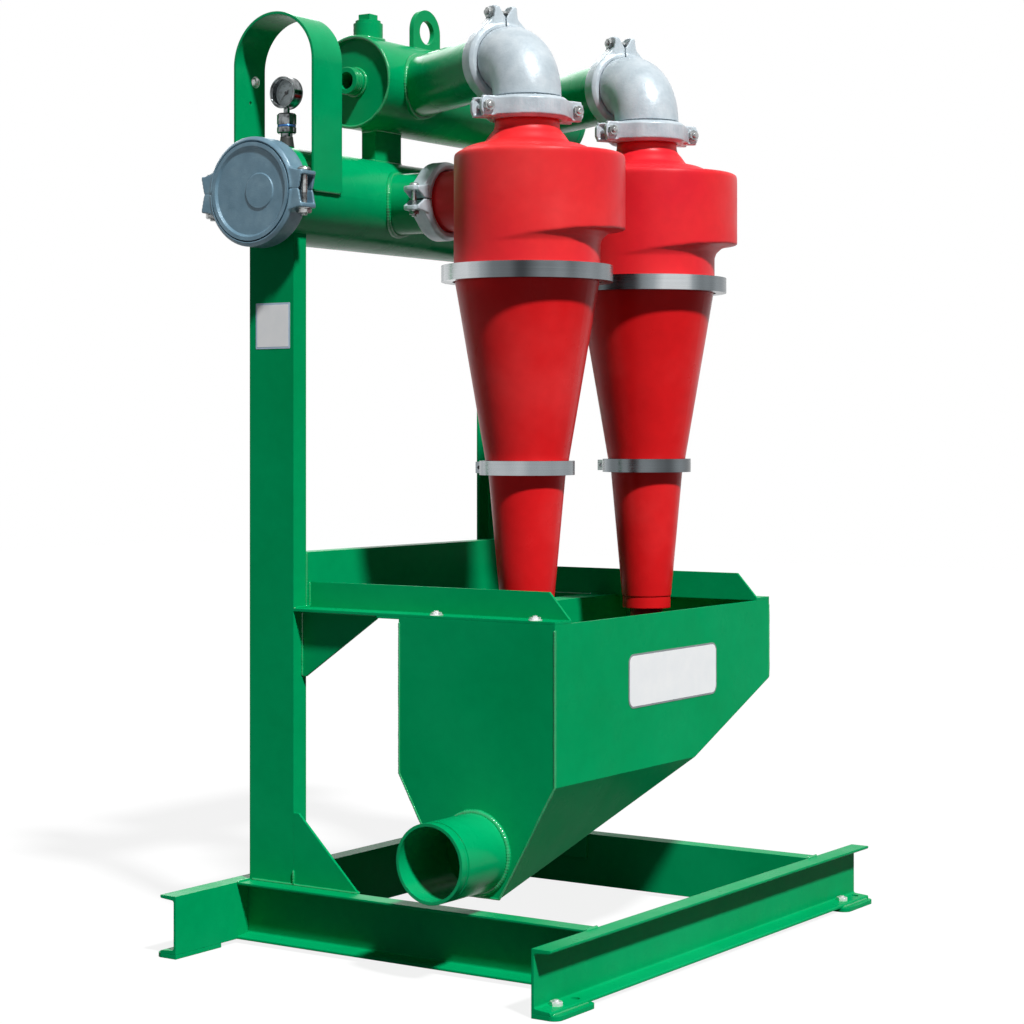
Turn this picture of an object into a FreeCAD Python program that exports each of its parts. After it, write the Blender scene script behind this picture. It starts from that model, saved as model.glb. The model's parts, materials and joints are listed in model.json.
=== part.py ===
import FreeCAD, Part
import math
import os
import re
import Sketcher
from FreeCAD import Placement, Rotation, Vector

# Skid-mounted desander: two hydrocyclones hung between a feed manifold and an
# overflow manifold, over a hopper, on a welded channel skid. Millimetres, +Z up.
# Origin: centre of the four anchor holes, on the floor. +X runs from the columns
# to the open side of the hopper, -Y is the end with the capped feed manifold.

DOC = FreeCAD.newDocument("desander")
SHEET = DOC.addObject("Spreadsheet::Sheet", "Sizes")
NODES = []

# Driving dimensions, each written once
SIZES = (
    # steel channel of the skid, the columns and their tie
    ("channel_height", 127.0),
    ("channel_flange", 44.5),
    ("channel_web", 6.0),
    ("flange_root", 9.5),
    ("flange_tip", 6.5),
    ("root_round", 5.0),
    ("toe_round", 3.5),
    # skid
    ("skid_length", 1422.0),
    ("rail_gap", 926.0),
    ("front_cross_inset", 203.0),
    ("rear_cross_inset", 188.0),
    ("pad_length", 150.0),
    ("pad_thick", 9.5),
    ("pad_corner", 20.0),
    ("pad_overhang", 16.0),
    ("anchor_radius", 8.5),
    ("anchor_front_inset", 127.0),
    ("anchor_rear_inset", 28.0),
    ("anchor_out", 22.0),
    ("pad_bolt_pitch", 72.0),
    ("pad_bolt_radius", 8.0),
    ("pad_bolt_across", 24.0),
    ("pad_bolt_head", 10.0),
    # frame on the skid
    ("plate_thick", 6.35),
    ("tie_bottom", 749.5),
    ("foot_gusset_height", 161.0),
    ("foot_gusset_reach", 181.0),
    ("foot_gusset_top", 14.0),
    ("foot_gusset_lap", 60.0),
    ("angle_leg", 63.5),
    ("angle_thick", 6.35),
    ("arm_bottom", 746.5),
    ("arm_slant", 52.0),
    ("arm_gusset_drop", 147.0),
    ("arm_gusset_reach", 208.0),
    ("arm_gusset_set_back", 37.0),
    ("gusset_toe", 10.0),
    # hopper
    ("hopper_width", 402.0),
    ("hopper_wall", 5.0),
    ("hopper_depth_at_fold", 337.0),
    ("hopper_depth_front", 582.0),
    ("hopper_depth_rear", 187.0),
    ("hopper_floor_width", 122.0),
    ("hopper_lip", 52.0),
    ("hopper_side_lip", 60.0),
    ("hopper_bolt_before", 113.0),
    ("hopper_bolt_pitch", 254.0),
    ("hopper_bolt_inset", 17.0),
    ("hopper_bolt_radius", 6.0),
    ("hopper_bolt_across", 22.0),
    ("hopper_washer_radius", 15.0),
    ("hopper_washer_thick", 2.5),
    ("hopper_bolt_head", 7.5),
    ("outlet_od", 168.3),
    ("outlet_wall", 7.1),
    ("outlet_length", 166.0),
    ("outlet_height", 257.5),
    # pipes and their coupling grooves
    ("header_od", 219.1),
    ("header_wall", 8.2),
    ("branch_od", 141.3),
    ("branch_wall", 6.6),
    ("groove_from_end", 15.9),
    ("groove_width", 9.5),
    ("groove_depth", 2.2),
    ("pipe_gap", 2.0),
    # feed manifold
    ("feed_height", 1679.5),
    ("feed_front", 202.0),
    ("feed_length", 1098.0),
    ("feed_joint_reach", 213.5),
    # overflow manifold
    ("header_rise", 288.0),
    ("overflow_front", 545.0),
    ("overflow_length", 855.0),
    ("branch_angle", 28.0),
    ("end_disc_recess", 9.0),
    ("end_disc_thick", 10.0),
    ("boss_od", 62.0),
    ("boss_bore", 40.0),
    ("boss_length", 46.0),
    ("vent_from_front", 58.0),
    ("vent_od", 70.0),
    ("vent_height", 34.0),
    ("vent_bore", 44.0),
    ("vent_collar_od", 60.0),
    ("vent_collar_height", 7.0),
    ("vent_head_across", 32.0),
    ("vent_head_height", 15.0),
    ("vent_thread_depth", 20.0),
    ("eye_from_front", 286.0),
    ("eye_radius", 55.0),
    ("eye_rise", 154.5),
    ("eye_thick", 12.7),
    ("eye_hole_radius", 29.0),
    ("post_width", 101.6),
    ("post_flange", 40.0),
    ("post_wall", 6.0),
    ("post_first", 656.0),
    ("post_pitch", 554.0),
    # gauge and its guard
    ("guard_front", 254.0),
    ("guard_width", 101.6),
    ("guard_thick", 6.35),
    ("guard_rise", 295.0),
    ("guard_end_rise", 5.0),
    ("guard_hole_radius", 4.0),
    ("guard_hole_rise", 219.0),
    ("gauge_front", 286.0),
    ("gauge_rise", 233.0),
    ("gauge_od", 70.0),
    ("gauge_depth", 30.0),
    ("gauge_shell", 2.5),
    ("gauge_movement", 12.0),
    ("gauge_bezel_lip", 2.5),
    ("gauge_bezel_depth", 3.0),
    ("dial_thick", 1.0),
    ("glass_thick", 2.5),
    ("pointer_length", 22.0),
    ("pointer_tail", 9.0),
    ("pointer_width", 2.4),
    ("pointer_thick", 1.0),
    ("pointer_lift", 3.0),
    ("pointer_shaft", 2.0),
    ("pointer_hub", 4.0),
    ("pointer_clearance", 0.08),
    ("pointer_rest_angle", 225.0),
    ("seal_od", 44.0),
    ("seal_height", 46.0),
    ("seal_ring_od", 40.0),
    ("seal_ring_height", 7.0),
    ("nipple_od", 27.0),
    ("nipple_height", 31.0),
    ("gauge_stem_od", 14.0),
    # hydrocyclones
    ("cone_reach", 556.5),
    ("cone_first", 446.0),
    ("cone_pitch", 509.0),
    ("inlet_offset", 161.0),
    ("barrel_radius", 160.0),
    ("liner_bore", 127.0),
    ("inlet_bore", 64.0),
    ("volute_drop", 90.0),
    ("volute_rise", 75.0),
    ("volute_blend", 35.0),
    ("duct_length", 175.0),
    ("dome_height", 39.0),
    ("dome_base", 150.0),
    ("chamber_half", 64.0),
    ("neck_bore", 63.5),
    ("finder_od", 110.0),
    ("finder_wall", 7.5),
    ("finder_length", 212.0),
    ("finder_collar", 12.0),
    ("barrel_drop", 189.5),
    ("flange_radius", 172.0),
    ("flange_lip", 11.5),
    ("cone_top_radius", 157.5),
    ("cone_waist_radius", 91.0),
    ("cone_mid_bore", 65.0),
    ("upper_cone_length", 422.0),
    ("tail_flange_radius", 96.0),
    ("tail_flange_lip", 10.5),
    ("tail_top_radius", 84.0),
    ("tail_tip_radius", 57.6),
    ("tail_end_bore", 28.0),
    ("lower_cone_length", 334.5),
    ("tip_band_radius", 56.25),
    ("tip_band", 28.0),
    ("apex_radius", 38.0),
    ("apex_bore", 19.0),
    ("apex_length", 34.0),
    ("apex_socket", 24.0),
    ("ring_radius", 187.5),
    ("ring_depth", 35.0),
    ("ring_lap", 9.0),
    ("small_ring_radius", 104.0),
    ("small_ring_depth", 31.0),
    ("small_ring_lap", 4.5),
    ("ring_slot", 8.0),
    ("seat_gap", 0.2),
    # elbows
    ("elbow_reach", 118.0),
    ("elbow_od", 150.0),
    ("elbow_bore", 128.0),
    ("elbow_collar", 27.0),
    # grooved couplings: the small ones join the branches, the large one holds the cap
    ("coupling_od", 182.0),
    ("coupling_width", 48.0),
    ("gasket_thick", 9.0),
    ("coupling_split", 3.0),
    ("ear_reach", 126.0),
    ("ear_height", 56.0),
    ("ear_width", 44.0),
    ("ear_lug", 11.0),
    ("ear_wall", 5.0),
    ("ear_bolt_at", 110.0),
    ("ear_bolt_radius", 6.0),
    ("ear_bolt_across", 24.0),
    ("ear_bolt_head", 8.0),
    ("cap_coupling_od", 251.0),
    ("cap_coupling_width", 60.0),
    ("cap_ear_reach", 155.0),
    ("cap_ear_height", 82.0),
    ("cap_ear_width", 54.0),
    ("cap_ear_lug", 11.0),
    ("cap_ear_wall", 7.0),
    ("cap_bolt_at", 140.0),
    ("cap_bolt_radius", 8.0),
    ("cap_bolt_across", 32.0),
    ("cap_bolt_head", 11.0),
    ("cap_thick", 29.0),
    ("cap_dish_radius", 96.0),
    ("cap_dish_depth", 5.0),
    ("cap_boss_radius", 38.0),
    ("cap_boss_rise", 2.5),
    ("cap_boss_offset", 25.0),
)
NAMES = set(name for name, number in SIZES)

# Heights that hang from the feed manifold
LEVELS = {
    "overflow_z": "(feed_height + header_rise)",
    "flange_z": "(feed_height - barrel_drop)",
    "tail_flange_z": "(feed_height - barrel_drop - upper_cone_length)",
    "tip_z": "(feed_height - barrel_drop - upper_cone_length - lower_cone_length)",
}

# Places that several pieces share, as expressions of the sizes
ANCHOR_PITCH = "(skid_length - anchor_front_inset - anchor_rear_inset)"
FRONT_END = "(0 - %s / 2 - anchor_front_inset)" % ANCHOR_PITCH
LEFT_WEB = "(0 - rail_gap / 2)"
HEADER_X = "(channel_height / 2 - rail_gap / 2)"
CONE_X = "(channel_height / 2 - rail_gap / 2 + cone_reach)"
FRONT_WEB = "(%s + front_cross_inset + channel_flange)" % FRONT_END
REAR_WEB = "(%s + skid_length - rear_cross_inset - channel_flange)" % FRONT_END
SKID_TOP = "(pad_thick + channel_height)"
COLUMN_SIDE = "(channel_height - rail_gap / 2)"
BEND_RUN = "(cone_reach * tan(branch_angle))"


def fill_sheet():
    for row, (name, number) in enumerate(SIZES, 1):
        SHEET.set("A%d" % row, name)
        SHEET.set("B%d" % row, str(number))
        SHEET.setAlias("B%d" % row, name)
    DOC.recompute()


def value(text):
    """Number that an expression of the sizes has now."""
    return float(SHEET.evalExpression(levelled(text)))


def levelled(text):
    """Expression text with each level written out in sizes."""
    return re.sub(r"[a-z][a-z_]*", lambda match: LEVELS.get(match.group(), match.group()), text)


def sized(text):
    """Expression text with the sheet's name in front of each size."""
    def prefix(match):
        word = match.group()
        return "Sizes." + word if word in NAMES else word
    return re.sub(r"[a-z][a-z_]*", prefix, levelled(text))


def bind(obj, prop, text):
    obj.setExpression(prop, sized(text))


def facing(x_to, z_to):
    """Rotation that takes local X to x_to and local Z to z_to."""
    return Rotation(Vector(*x_to), Vector(0, 0, 0), Vector(*z_to), "ZXY")


ALONG_X = ((0, 1, 0), (1, 0, 0))
ALONG_Y = ((1, 0, 0), (0, 1, 0))
AGAINST_Y = ((-1, 0, 0), (0, -1, 0))


def put(obj, at, turn=None, angle=None):
    """Places an object: at is three expressions, turn the directions of its X and Z."""
    if turn:
        obj.Placement = Placement(Vector(0, 0, 0), facing(*turn))
    if angle:
        obj.Placement = Placement(Vector(0, 0, 0), Rotation(Vector(0, 0, 1), 1))
        bind(obj, ".Placement.Rotation.Angle", angle)
    for axis, text in zip("xyz", at):
        if text != "0":
            bind(obj, ".Placement.Base." + axis, text)
    return obj


def publish(obj, label):
    obj.Label = label
    NODES.append(obj)
    return obj


def cylinder(name, radius, height, at=("0", "0", "0"), turn=None):
    obj = DOC.addObject("Part::Cylinder", name)
    bind(obj, "Radius", radius)
    bind(obj, "Height", height)
    return put(obj, at, turn)


def box(name, length, width, height, at=("0", "0", "0"), turn=None):
    obj = DOC.addObject("Part::Box", name)
    bind(obj, "Length", length)
    bind(obj, "Width", width)
    bind(obj, "Height", height)
    return put(obj, at, turn)


def hexagon(name, across, height, at=("0", "0", "0"), turn=None):
    obj = DOC.addObject("Part::Prism", name)
    obj.Polygon = 6
    bind(obj, "Circumradius", "(%s) / sqrt(3)" % across)
    bind(obj, "Height", height)
    return put(obj, at, turn)


def fuse(name, pieces):
    obj = DOC.addObject("Part::MultiFuse", name)
    obj.Shapes = pieces
    obj.Refine = True
    return obj


def common(name, pieces):
    obj = DOC.addObject("Part::MultiCommon", name)
    obj.Shapes = pieces
    return obj


def cut(name, base, tools):
    tool = tools[0] if len(tools) == 1 else fuse(name + "_tools", tools)
    obj = DOC.addObject("Part::Cut", name)
    obj.Base = base
    obj.Tool = tool
    return obj


def group(name, pieces, at=("0", "0", "0"), turn=None, angle=None):
    """Pieces kept as solids of their own in one placed object."""
    obj = DOC.addObject("Part::Compound", name)
    obj.Links = pieces
    return put(obj, at, turn, angle)


def mirrored(name, source, middle):
    """The same piece turned about the plane midway between the two columns."""
    obj = DOC.addObject("Part::Mirroring", name)
    obj.Source = source
    obj.Normal = Vector(0, 1, 0)
    bind(obj, "Base.y", middle)
    return obj


def outline(body, role, points):
    """Closed sketch of straight lines, each corner bound to two expressions."""
    sketch = body.newObject("Sketcher::SketchObject", body.Name + "_outline")
    plane = [item for item in body.Origin.OriginFeatures if item.Role == role][0]
    sketch.AttachmentSupport = [(plane, "")]
    sketch.MapMode = "FlatFace"
    corners = [Vector(value(u), value(v), 0) for u, v in points]
    count = len(corners)
    for index in range(count):
        line = Part.LineSegment(corners[index], corners[(index + 1) % count])
        sketch.addGeometry(line, False)
    for index in range(count):
        sketch.addConstraint(Sketcher.Constraint("Coincident", index, 2, (index + 1) % count, 1))
    for index, (u, v) in enumerate(points):
        pin(sketch, "DistanceX", index, 1, corners[index].x, "u%d" % index, u)
        pin(sketch, "DistanceY", index, 1, corners[index].y, "v%d" % index, v)
    return sketch


def pin(sketch, kind, geometry, point, number, name, text):
    """Holds one coordinate of a sketch point to an expression."""
    place = sketch.addConstraint(Sketcher.Constraint(kind, -1, 1, geometry, point, number))
    sketch.renameConstraint(place, name)
    bind(sketch, "Constraints." + name, text)


def plate(name, points, thick, at=("0", "0", "0"), turn=None):
    """Flat outline drawn out along local Z."""
    body = DOC.addObject("PartDesign::Body", name)
    sketch = outline(body, "XY_Plane", points)
    pad = body.newObject("PartDesign::Pad", name + "_pad")
    pad.Profile = sketch
    bind(pad, "Length", thick)
    return put(body, at, turn)


def rounded(body, name, radius, points):
    """Fillet along the edges of a drawn-out outline that start at the given corners."""
    DOC.recompute()
    tip = body.Tip
    corners = [Vector(value(u), value(v), 0) for u, v in points]
    chosen = []
    for number, edge in enumerate(tip.Shape.Edges, 1):
        ends = [Vector(end.X, end.Y, 0) for end in edge.Vertexes]
        if any(all((end - corner).Length < 0.01 for end in ends) for corner in corners):
            chosen.append("Edge%d" % number)
    fillet = body.newObject("PartDesign::Fillet", body.Name + "_" + name)
    fillet.Base = (tip, chosen)
    bind(fillet, "Radius", radius)
    body.Tip = fillet
    return body


def lathe(name, points, at=("0", "0", "0"), turn=None):
    """Half section (radius, height) turned about local Z."""
    body = DOC.addObject("PartDesign::Body", name)
    sketch = outline(body, "XZ_Plane", points)
    turned = body.newObject("PartDesign::Revolution", name + "_turned")
    turned.Profile = sketch
    turned.ReferenceAxis = (sketch, ["V_Axis"])
    turned.Angle = 360
    return put(body, at, turn)


# Skid

def channel(name, length, at, turn, height="channel_height", flange="channel_flange",
            web="channel_web", tip="flange_tip", root="flange_root"):
    """Rolled channel: web on local Y, flanges towards local X, drawn along local Z."""
    points = [("0", "0"), (flange, "0"), (flange, tip), (web, root),
              (web, "%s - %s" % (height, root)), (flange, "%s - %s" % (height, tip)),
              (flange, height), ("0", height)]
    bar = plate(name, points, length, at, turn)
    rounded(bar, "roots", "root_round", [points[3], points[4]])
    return rounded(bar, "toes", "toe_round", [points[2], points[5]])


def anchor_ys():
    return ("0 - %s / 2" % ANCHOR_PITCH, "%s / 2" % ANCHOR_PITCH)


def bolt_ys():
    return tuple(y + " - pad_bolt_pitch" for y in anchor_ys())


def rail_holes(name, side):
    """Anchor and bolt holes down through the bottom flange and the foot pads."""
    x = "%s (rail_gap / 2 + anchor_out)" % side
    tools = []
    for number, y in enumerate(anchor_ys()):
        tools.append(cylinder("%s_anchor_%d" % (name, number), "anchor_radius",
                              "pad_thick + 2 * flange_root", (x, y, "0")))
    for number, y in enumerate(bolt_ys()):
        tools.append(cylinder("%s_bolt_%d" % (name, number), "pad_bolt_radius + seat_gap",
                              "pad_thick + 2 * flange_root", (x, y, "0")))
    return tools


def rails():
    left = channel("left_rail_bar", "skid_length", (LEFT_WEB, FRONT_END, "pad_thick"),
                   ((-1, 0, 0), (0, 1, 0)))
    publish(cut("left_rail", left, rail_holes("left_rail_hole", "0 -")), "left_rail")
    far_end = "%s + skid_length" % FRONT_END
    right = channel("right_rail_bar", "skid_length", ("rail_gap / 2", far_end, "pad_thick"),
                    ((1, 0, 0), (0, -1, 0)))
    publish(cut("right_rail", right, rail_holes("right_rail_hole", "0 +")), "right_rail")


def cross_channels():
    front = channel("front_cross_channel", "rail_gap", ("rail_gap / 2", FRONT_WEB, "pad_thick"),
                    ((0, -1, 0), (-1, 0, 0)))
    publish(front, "front_cross_channel")
    rear = channel("rear_cross_channel", "rail_gap", (LEFT_WEB, REAR_WEB, "pad_thick"),
                   ((0, 1, 0), (1, 0, 0)))
    publish(rear, "rear_cross_channel")


def foot_pads():
    """Flat pads under the rail ends, their outer corners rounded."""
    reach = "(channel_flange + pad_overhang)"
    points = [("0", "0"), (reach, "0"), (reach, "pad_length"), ("0", "pad_length")]
    far = "%s + skid_length" % FRONT_END
    spots = (("front_right_foot", "rail_gap / 2", FRONT_END, (1, 0, 0), (0, 0, 1), "0", "0 +"),
             ("rear_right_foot", "rail_gap / 2", far + " - pad_length", (1, 0, 0), (0, 0, 1), "0", "0 +"),
             ("front_left_foot", LEFT_WEB, FRONT_END, (-1, 0, 0), (0, 0, -1), "pad_thick", "0 -"),
             ("rear_left_foot", LEFT_WEB, far + " - pad_length", (-1, 0, 0), (0, 0, -1), "pad_thick",
              "0 -"))
    for name, x, y, x_to, z_to, z, side in spots:
        pad = plate(name + "_plate", points, "pad_thick", (x, y, z), (x_to, z_to))
        rounded(pad, "corners", "pad_corner", [points[1], points[2]])
        end = 0 if name.startswith("front") else 1
        spot_x = "%s (rail_gap / 2 + anchor_out)" % side
        holes = [cylinder(name + "_anchor", "anchor_radius", "pad_thick",
                          (spot_x, anchor_ys()[end], "0")),
                 cylinder(name + "_bolt", "pad_bolt_radius + seat_gap", "pad_thick",
                          (spot_x, bolt_ys()[end], "0"))]
        publish(cut(name, pad, holes), name)


def foot_bolts():
    """Hexagon bolts that hold the pads to the bottom flanges."""
    flange_top = "(pad_thick + flange_root)"
    bolts = []
    for side, sign in (("left", "0 -"), ("right", "0 +")):
        for end, y in enumerate(bolt_ys()):
            name = "foot_bolt_%s_%d" % (side, end)
            x = "%s (rail_gap / 2 + anchor_out)" % sign
            shank = cylinder(name + "_shank", "pad_bolt_radius", flange_top, (x, y, "0.5"))
            head = hexagon(name + "_head", "pad_bolt_across", "pad_bolt_head",
                           (x, y, flange_top), ((0, 1, 0), (0, 0, 1)))
            bolts.append(fuse(name, [shank, head]))
    publish(group("foot_bolts", bolts), "foot_bolts")


# Columns, tie, gussets and arms

def columns():
    """Channel columns in the corners of the skid, coped to the feed manifold."""
    tall = "(feed_height - pad_thick - sqrt(header_od ^ 2 - channel_height ^ 2) / 2)"
    saddle = cylinder("column_saddle", "header_od / 2", "skid_length",
                      (HEADER_X, FRONT_END, "feed_height"), ALONG_Y)
    front = channel("front_column_bar", tall, (COLUMN_SIDE, FRONT_WEB, "pad_thick"),
                    ((0, 1, 0), (0, 0, 1)))
    publish(cut("front_column", front, [saddle]), "front_column")
    rear = channel("rear_column_bar", tall, (LEFT_WEB, REAR_WEB, "pad_thick"),
                   ((0, -1, 0), (0, 0, 1)))
    publish(cut("rear_column", rear, [saddle]), "rear_column")
    tie = channel("column_tie", "%s - %s - 2 * channel_flange" % (REAR_WEB, FRONT_WEB),
                  (COLUMN_SIDE, FRONT_WEB + " + channel_flange", "tie_bottom"),
                  ((-1, 0, 0), (0, 1, 0)))
    publish(tie, "column_tie")


ARM_REACH = "(%s + hopper_width / 2 - %s)" % (CONE_X, COLUMN_SIDE)
MIDDLE = "((%s + %s) / 2)" % (FRONT_WEB, REAR_WEB)


def foot_gussets():
    points = [("0", "0 - foot_gusset_lap"), ("foot_gusset_reach", "0 - foot_gusset_lap"),
              ("foot_gusset_reach", "0"), ("foot_gusset_top", "foot_gusset_height"),
              ("0", "foot_gusset_height")]
    front = plate("front_foot_gusset", points, "plate_thick",
                  (COLUMN_SIDE, FRONT_WEB + " + plate_thick", SKID_TOP), ((1, 0, 0), (0, -1, 0)))
    publish(front, "front_foot_gusset")
    publish(mirrored("rear_foot_gusset", front, MIDDLE), "rear_foot_gusset")


def arm_gussets():
    points = [("0", "0"), ("0", "0 - arm_gusset_drop"), ("gusset_toe", "0 - arm_gusset_drop"),
              ("arm_gusset_reach", "0 - gusset_toe"), ("arm_gusset_reach", "0")]
    front = plate("front_arm_gusset", points, "plate_thick",
                  (COLUMN_SIDE, FRONT_WEB + " + arm_gusset_set_back", "arm_bottom"),
                  ((1, 0, 0), (0, -1, 0)))
    publish(front, "front_arm_gusset")
    publish(mirrored("rear_arm_gusset", front, MIDDLE), "rear_arm_gusset")


def arms():
    """Angle arms that carry the hopper, flush with its side, their upright legs cut on a slant."""
    flat = box("arm_flat_leg", ARM_REACH, "angle_leg", "angle_thick",
               (COLUMN_SIDE, FRONT_WEB, "arm_bottom"))
    side = [("0", "0"), (ARM_REACH, "0"), (ARM_REACH, "angle_thick"),
            (ARM_REACH + " - arm_slant", "angle_leg"), ("0", "angle_leg")]
    upright = plate("arm_upright_leg", side, "angle_thick",
                    (COLUMN_SIDE, FRONT_WEB + " + angle_leg", "arm_bottom"), ((1, 0, 0), (0, -1, 0)))
    whole = fuse("arm_blank", [flat, upright])
    holes = []
    for number in range(2):
        holes.append(cylinder("arm_hole_%d" % number, "hopper_bolt_radius + seat_gap", "angle_thick",
                              (hopper_bolt_x(number), FRONT_WEB + " + hopper_bolt_inset",
                               "arm_bottom")))
    front = cut("front_arm", whole, holes)
    publish(front, "front_arm")
    publish(mirrored("rear_arm", front, MIDDLE), "rear_arm")


def hopper_bolt_x(number):
    return "%s - hopper_bolt_before + %d * hopper_bolt_pitch" % (CONE_X, number)


# Hopper and its outlet

HOPPER_FRONT = FRONT_WEB
HOPPER_LENGTH = "(%s - %s)" % (REAR_WEB, FRONT_WEB)
HOPPER_TOP = "arm_bottom"


def hopper_section(inset):
    """Cross-section of the trough, straight sides folded in to a narrow floor."""
    half = "(hopper_width / 2)"
    run = "((hopper_width - hopper_floor_width) / 2)"
    drop = "(hopper_depth_front - hopper_depth_at_fold)"
    slope = "sqrt(%s ^ 2 + %s ^ 2)" % (run, drop)
    if not inset:
        right = [("hopper_floor_width / 2", "0 - hopper_depth_front"),
                 (half, "0 - hopper_depth_at_fold"), (half, "0")]
    else:
        fold = "0 - hopper_depth_at_fold + hopper_wall * (%s - %s) / %s" % (slope, drop, run)
        right = [("hopper_floor_width / 2 - hopper_wall * %s / %s" % (slope, drop),
                  "0 - hopper_depth_front"),
                 (half + " - hopper_wall", fold), (half + " - hopper_wall", "hopper_wall")]
    left = [("0 - (%s)" % u, v) for u, v in reversed(right)]
    return right + left


def hopper_side(inset):
    """Side view of the trough: its floor rises to the rear."""
    rise = "((hopper_depth_front - hopper_depth_rear) / %s)" % HOPPER_LENGTH
    if not inset:
        return [("0", "0"), ("0", "0 - hopper_depth_front"),
                (HOPPER_LENGTH, "0 - hopper_depth_rear"), (HOPPER_LENGTH, "0")]
    lift = "hopper_wall * (sqrt(1 + %s ^ 2) + %s)" % (rise, rise)
    back = "hopper_wall * (sqrt(1 + %s ^ 2) - %s)" % (rise, rise)
    end = "%s - hopper_wall" % HOPPER_LENGTH
    return [("hopper_wall", "hopper_wall"), ("hopper_wall", "0 - hopper_depth_front + " + lift),
            (end, "0 - hopper_depth_rear + " + back), (end, "hopper_wall")]


def hopper_form(name, inset):
    across = plate(name + "_across", hopper_section(inset), HOPPER_LENGTH,
                   (CONE_X, HOPPER_FRONT, HOPPER_TOP), ((-1, 0, 0), (0, 1, 0)))
    along = plate(name + "_along", hopper_side(inset), "hopper_width",
                  (CONE_X + " - hopper_width / 2", HOPPER_FRONT, HOPPER_TOP), ALONG_X)
    return common(name, [across, along])


def hopper():
    """Open trough of welded sheet: flanges in under the arms, one out towards the columns."""
    shell = cut("hopper_shell", hopper_form("hopper_outer", False), [hopper_form("hopper_inner", True)])
    left = CONE_X + " - hopper_width / 2"
    lip_z = HOPPER_TOP + " - hopper_wall"
    front_lip = box("hopper_front_lip", "hopper_width", "hopper_lip", "hopper_wall",
                    (left, HOPPER_FRONT, lip_z))
    rear_lip = box("hopper_rear_lip", "hopper_width", "hopper_lip", "hopper_wall",
                   (left, "%s + %s - hopper_lip" % (HOPPER_FRONT, HOPPER_LENGTH), lip_z))
    side_lip = box("hopper_side_lip", "hopper_side_lip", HOPPER_LENGTH, "hopper_wall",
                   (left + " - hopper_side_lip", HOPPER_FRONT, lip_z))
    whole = fuse("hopper_blank", [shell, front_lip, rear_lip, side_lip])
    tools = [cylinder("hopper_outlet_hole", "outlet_od / 2 - outlet_wall", "3 * hopper_wall",
                      (CONE_X, HOPPER_FRONT + " - hopper_wall", "outlet_height"), ALONG_Y)]
    ends = (FRONT_WEB + " + hopper_bolt_inset", REAR_WEB + " - hopper_bolt_inset")
    for number in range(4):
        tools.append(cylinder("hopper_hole_%d" % number, "hopper_bolt_radius + seat_gap",
                              "3 * hopper_wall", (hopper_bolt_x(number % 2), ends[number // 2],
                                                  HOPPER_TOP + " - 2 * hopper_wall")))
    publish(cut("hopper", whole, tools), "hopper")


def outlet_pipe():
    """Short grooved pipe on the front of the hopper."""
    outer = "outlet_od / 2"
    inner = "outlet_od / 2 - outlet_wall"
    groove = "outlet_od / 2 - groove_depth"
    points = [(inner, "0"), (outer, "0"), (outer, "outlet_length - groove_from_end - groove_width"),
              (groove, "outlet_length - groove_from_end - groove_width"),
              (groove, "outlet_length - groove_from_end"),
              (outer, "outlet_length - groove_from_end"), (outer, "outlet_length"),
              (inner, "outlet_length")]
    pipe = lathe("outlet_pipe", points, (CONE_X, HOPPER_FRONT, "outlet_height"), AGAINST_Y)
    publish(pipe, "outlet_pipe")


def hopper_bolts():
    """Four bolts down through the arms and the hopper flanges, washers above, nuts below."""
    grip = "(angle_thick + hopper_wall)"
    ends = (FRONT_WEB + " + hopper_bolt_inset", REAR_WEB + " - hopper_bolt_inset")
    bolts = []
    for number in range(4):
        name = "hopper_bolt_%d" % number
        x = hopper_bolt_x(number % 2)
        y = ends[number // 2]
        low = HOPPER_TOP + " - hopper_wall - hopper_bolt_head"
        shank = cylinder(name + "_shank", "hopper_bolt_radius",
                         grip + " + 2 * hopper_bolt_head + hopper_washer_thick", (x, y, low))
        nut = hexagon(name + "_nut", "hopper_bolt_across", "hopper_bolt_head", (x, y, low))
        seat = HOPPER_TOP + " + angle_thick"
        washer = cylinder(name + "_washer", "hopper_washer_radius", "hopper_washer_thick", (x, y, seat))
        head = hexagon(name + "_head", "hopper_bolt_across", "hopper_bolt_head",
                       (x, y, seat + " + hopper_washer_thick"))
        bolts.append(fuse(name, [shank, nut, washer, head]))
    publish(group("hopper_bolts", bolts), "hopper_bolts")


# Manifolds

def grooved_bar(name, od, length, at, turn, end=True):
    """Solid bar with a coupling groove near its end, the outside of a pipe."""
    outer = "%s / 2" % od
    groove = "%s / 2 - groove_depth" % od
    start = "%s - groove_from_end - groove_width" % length
    stop = "%s - groove_from_end" % length
    points = [("0", "0"), (outer, "0"), (outer, start), (groove, start), (groove, stop),
              (outer, stop), (outer, length), ("0", length)]
    return lathe(name, points, at, turn)


def cone_y(number):
    return "(%s + cone_first + %d * cone_pitch)" % (FRONT_END, number)


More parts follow.
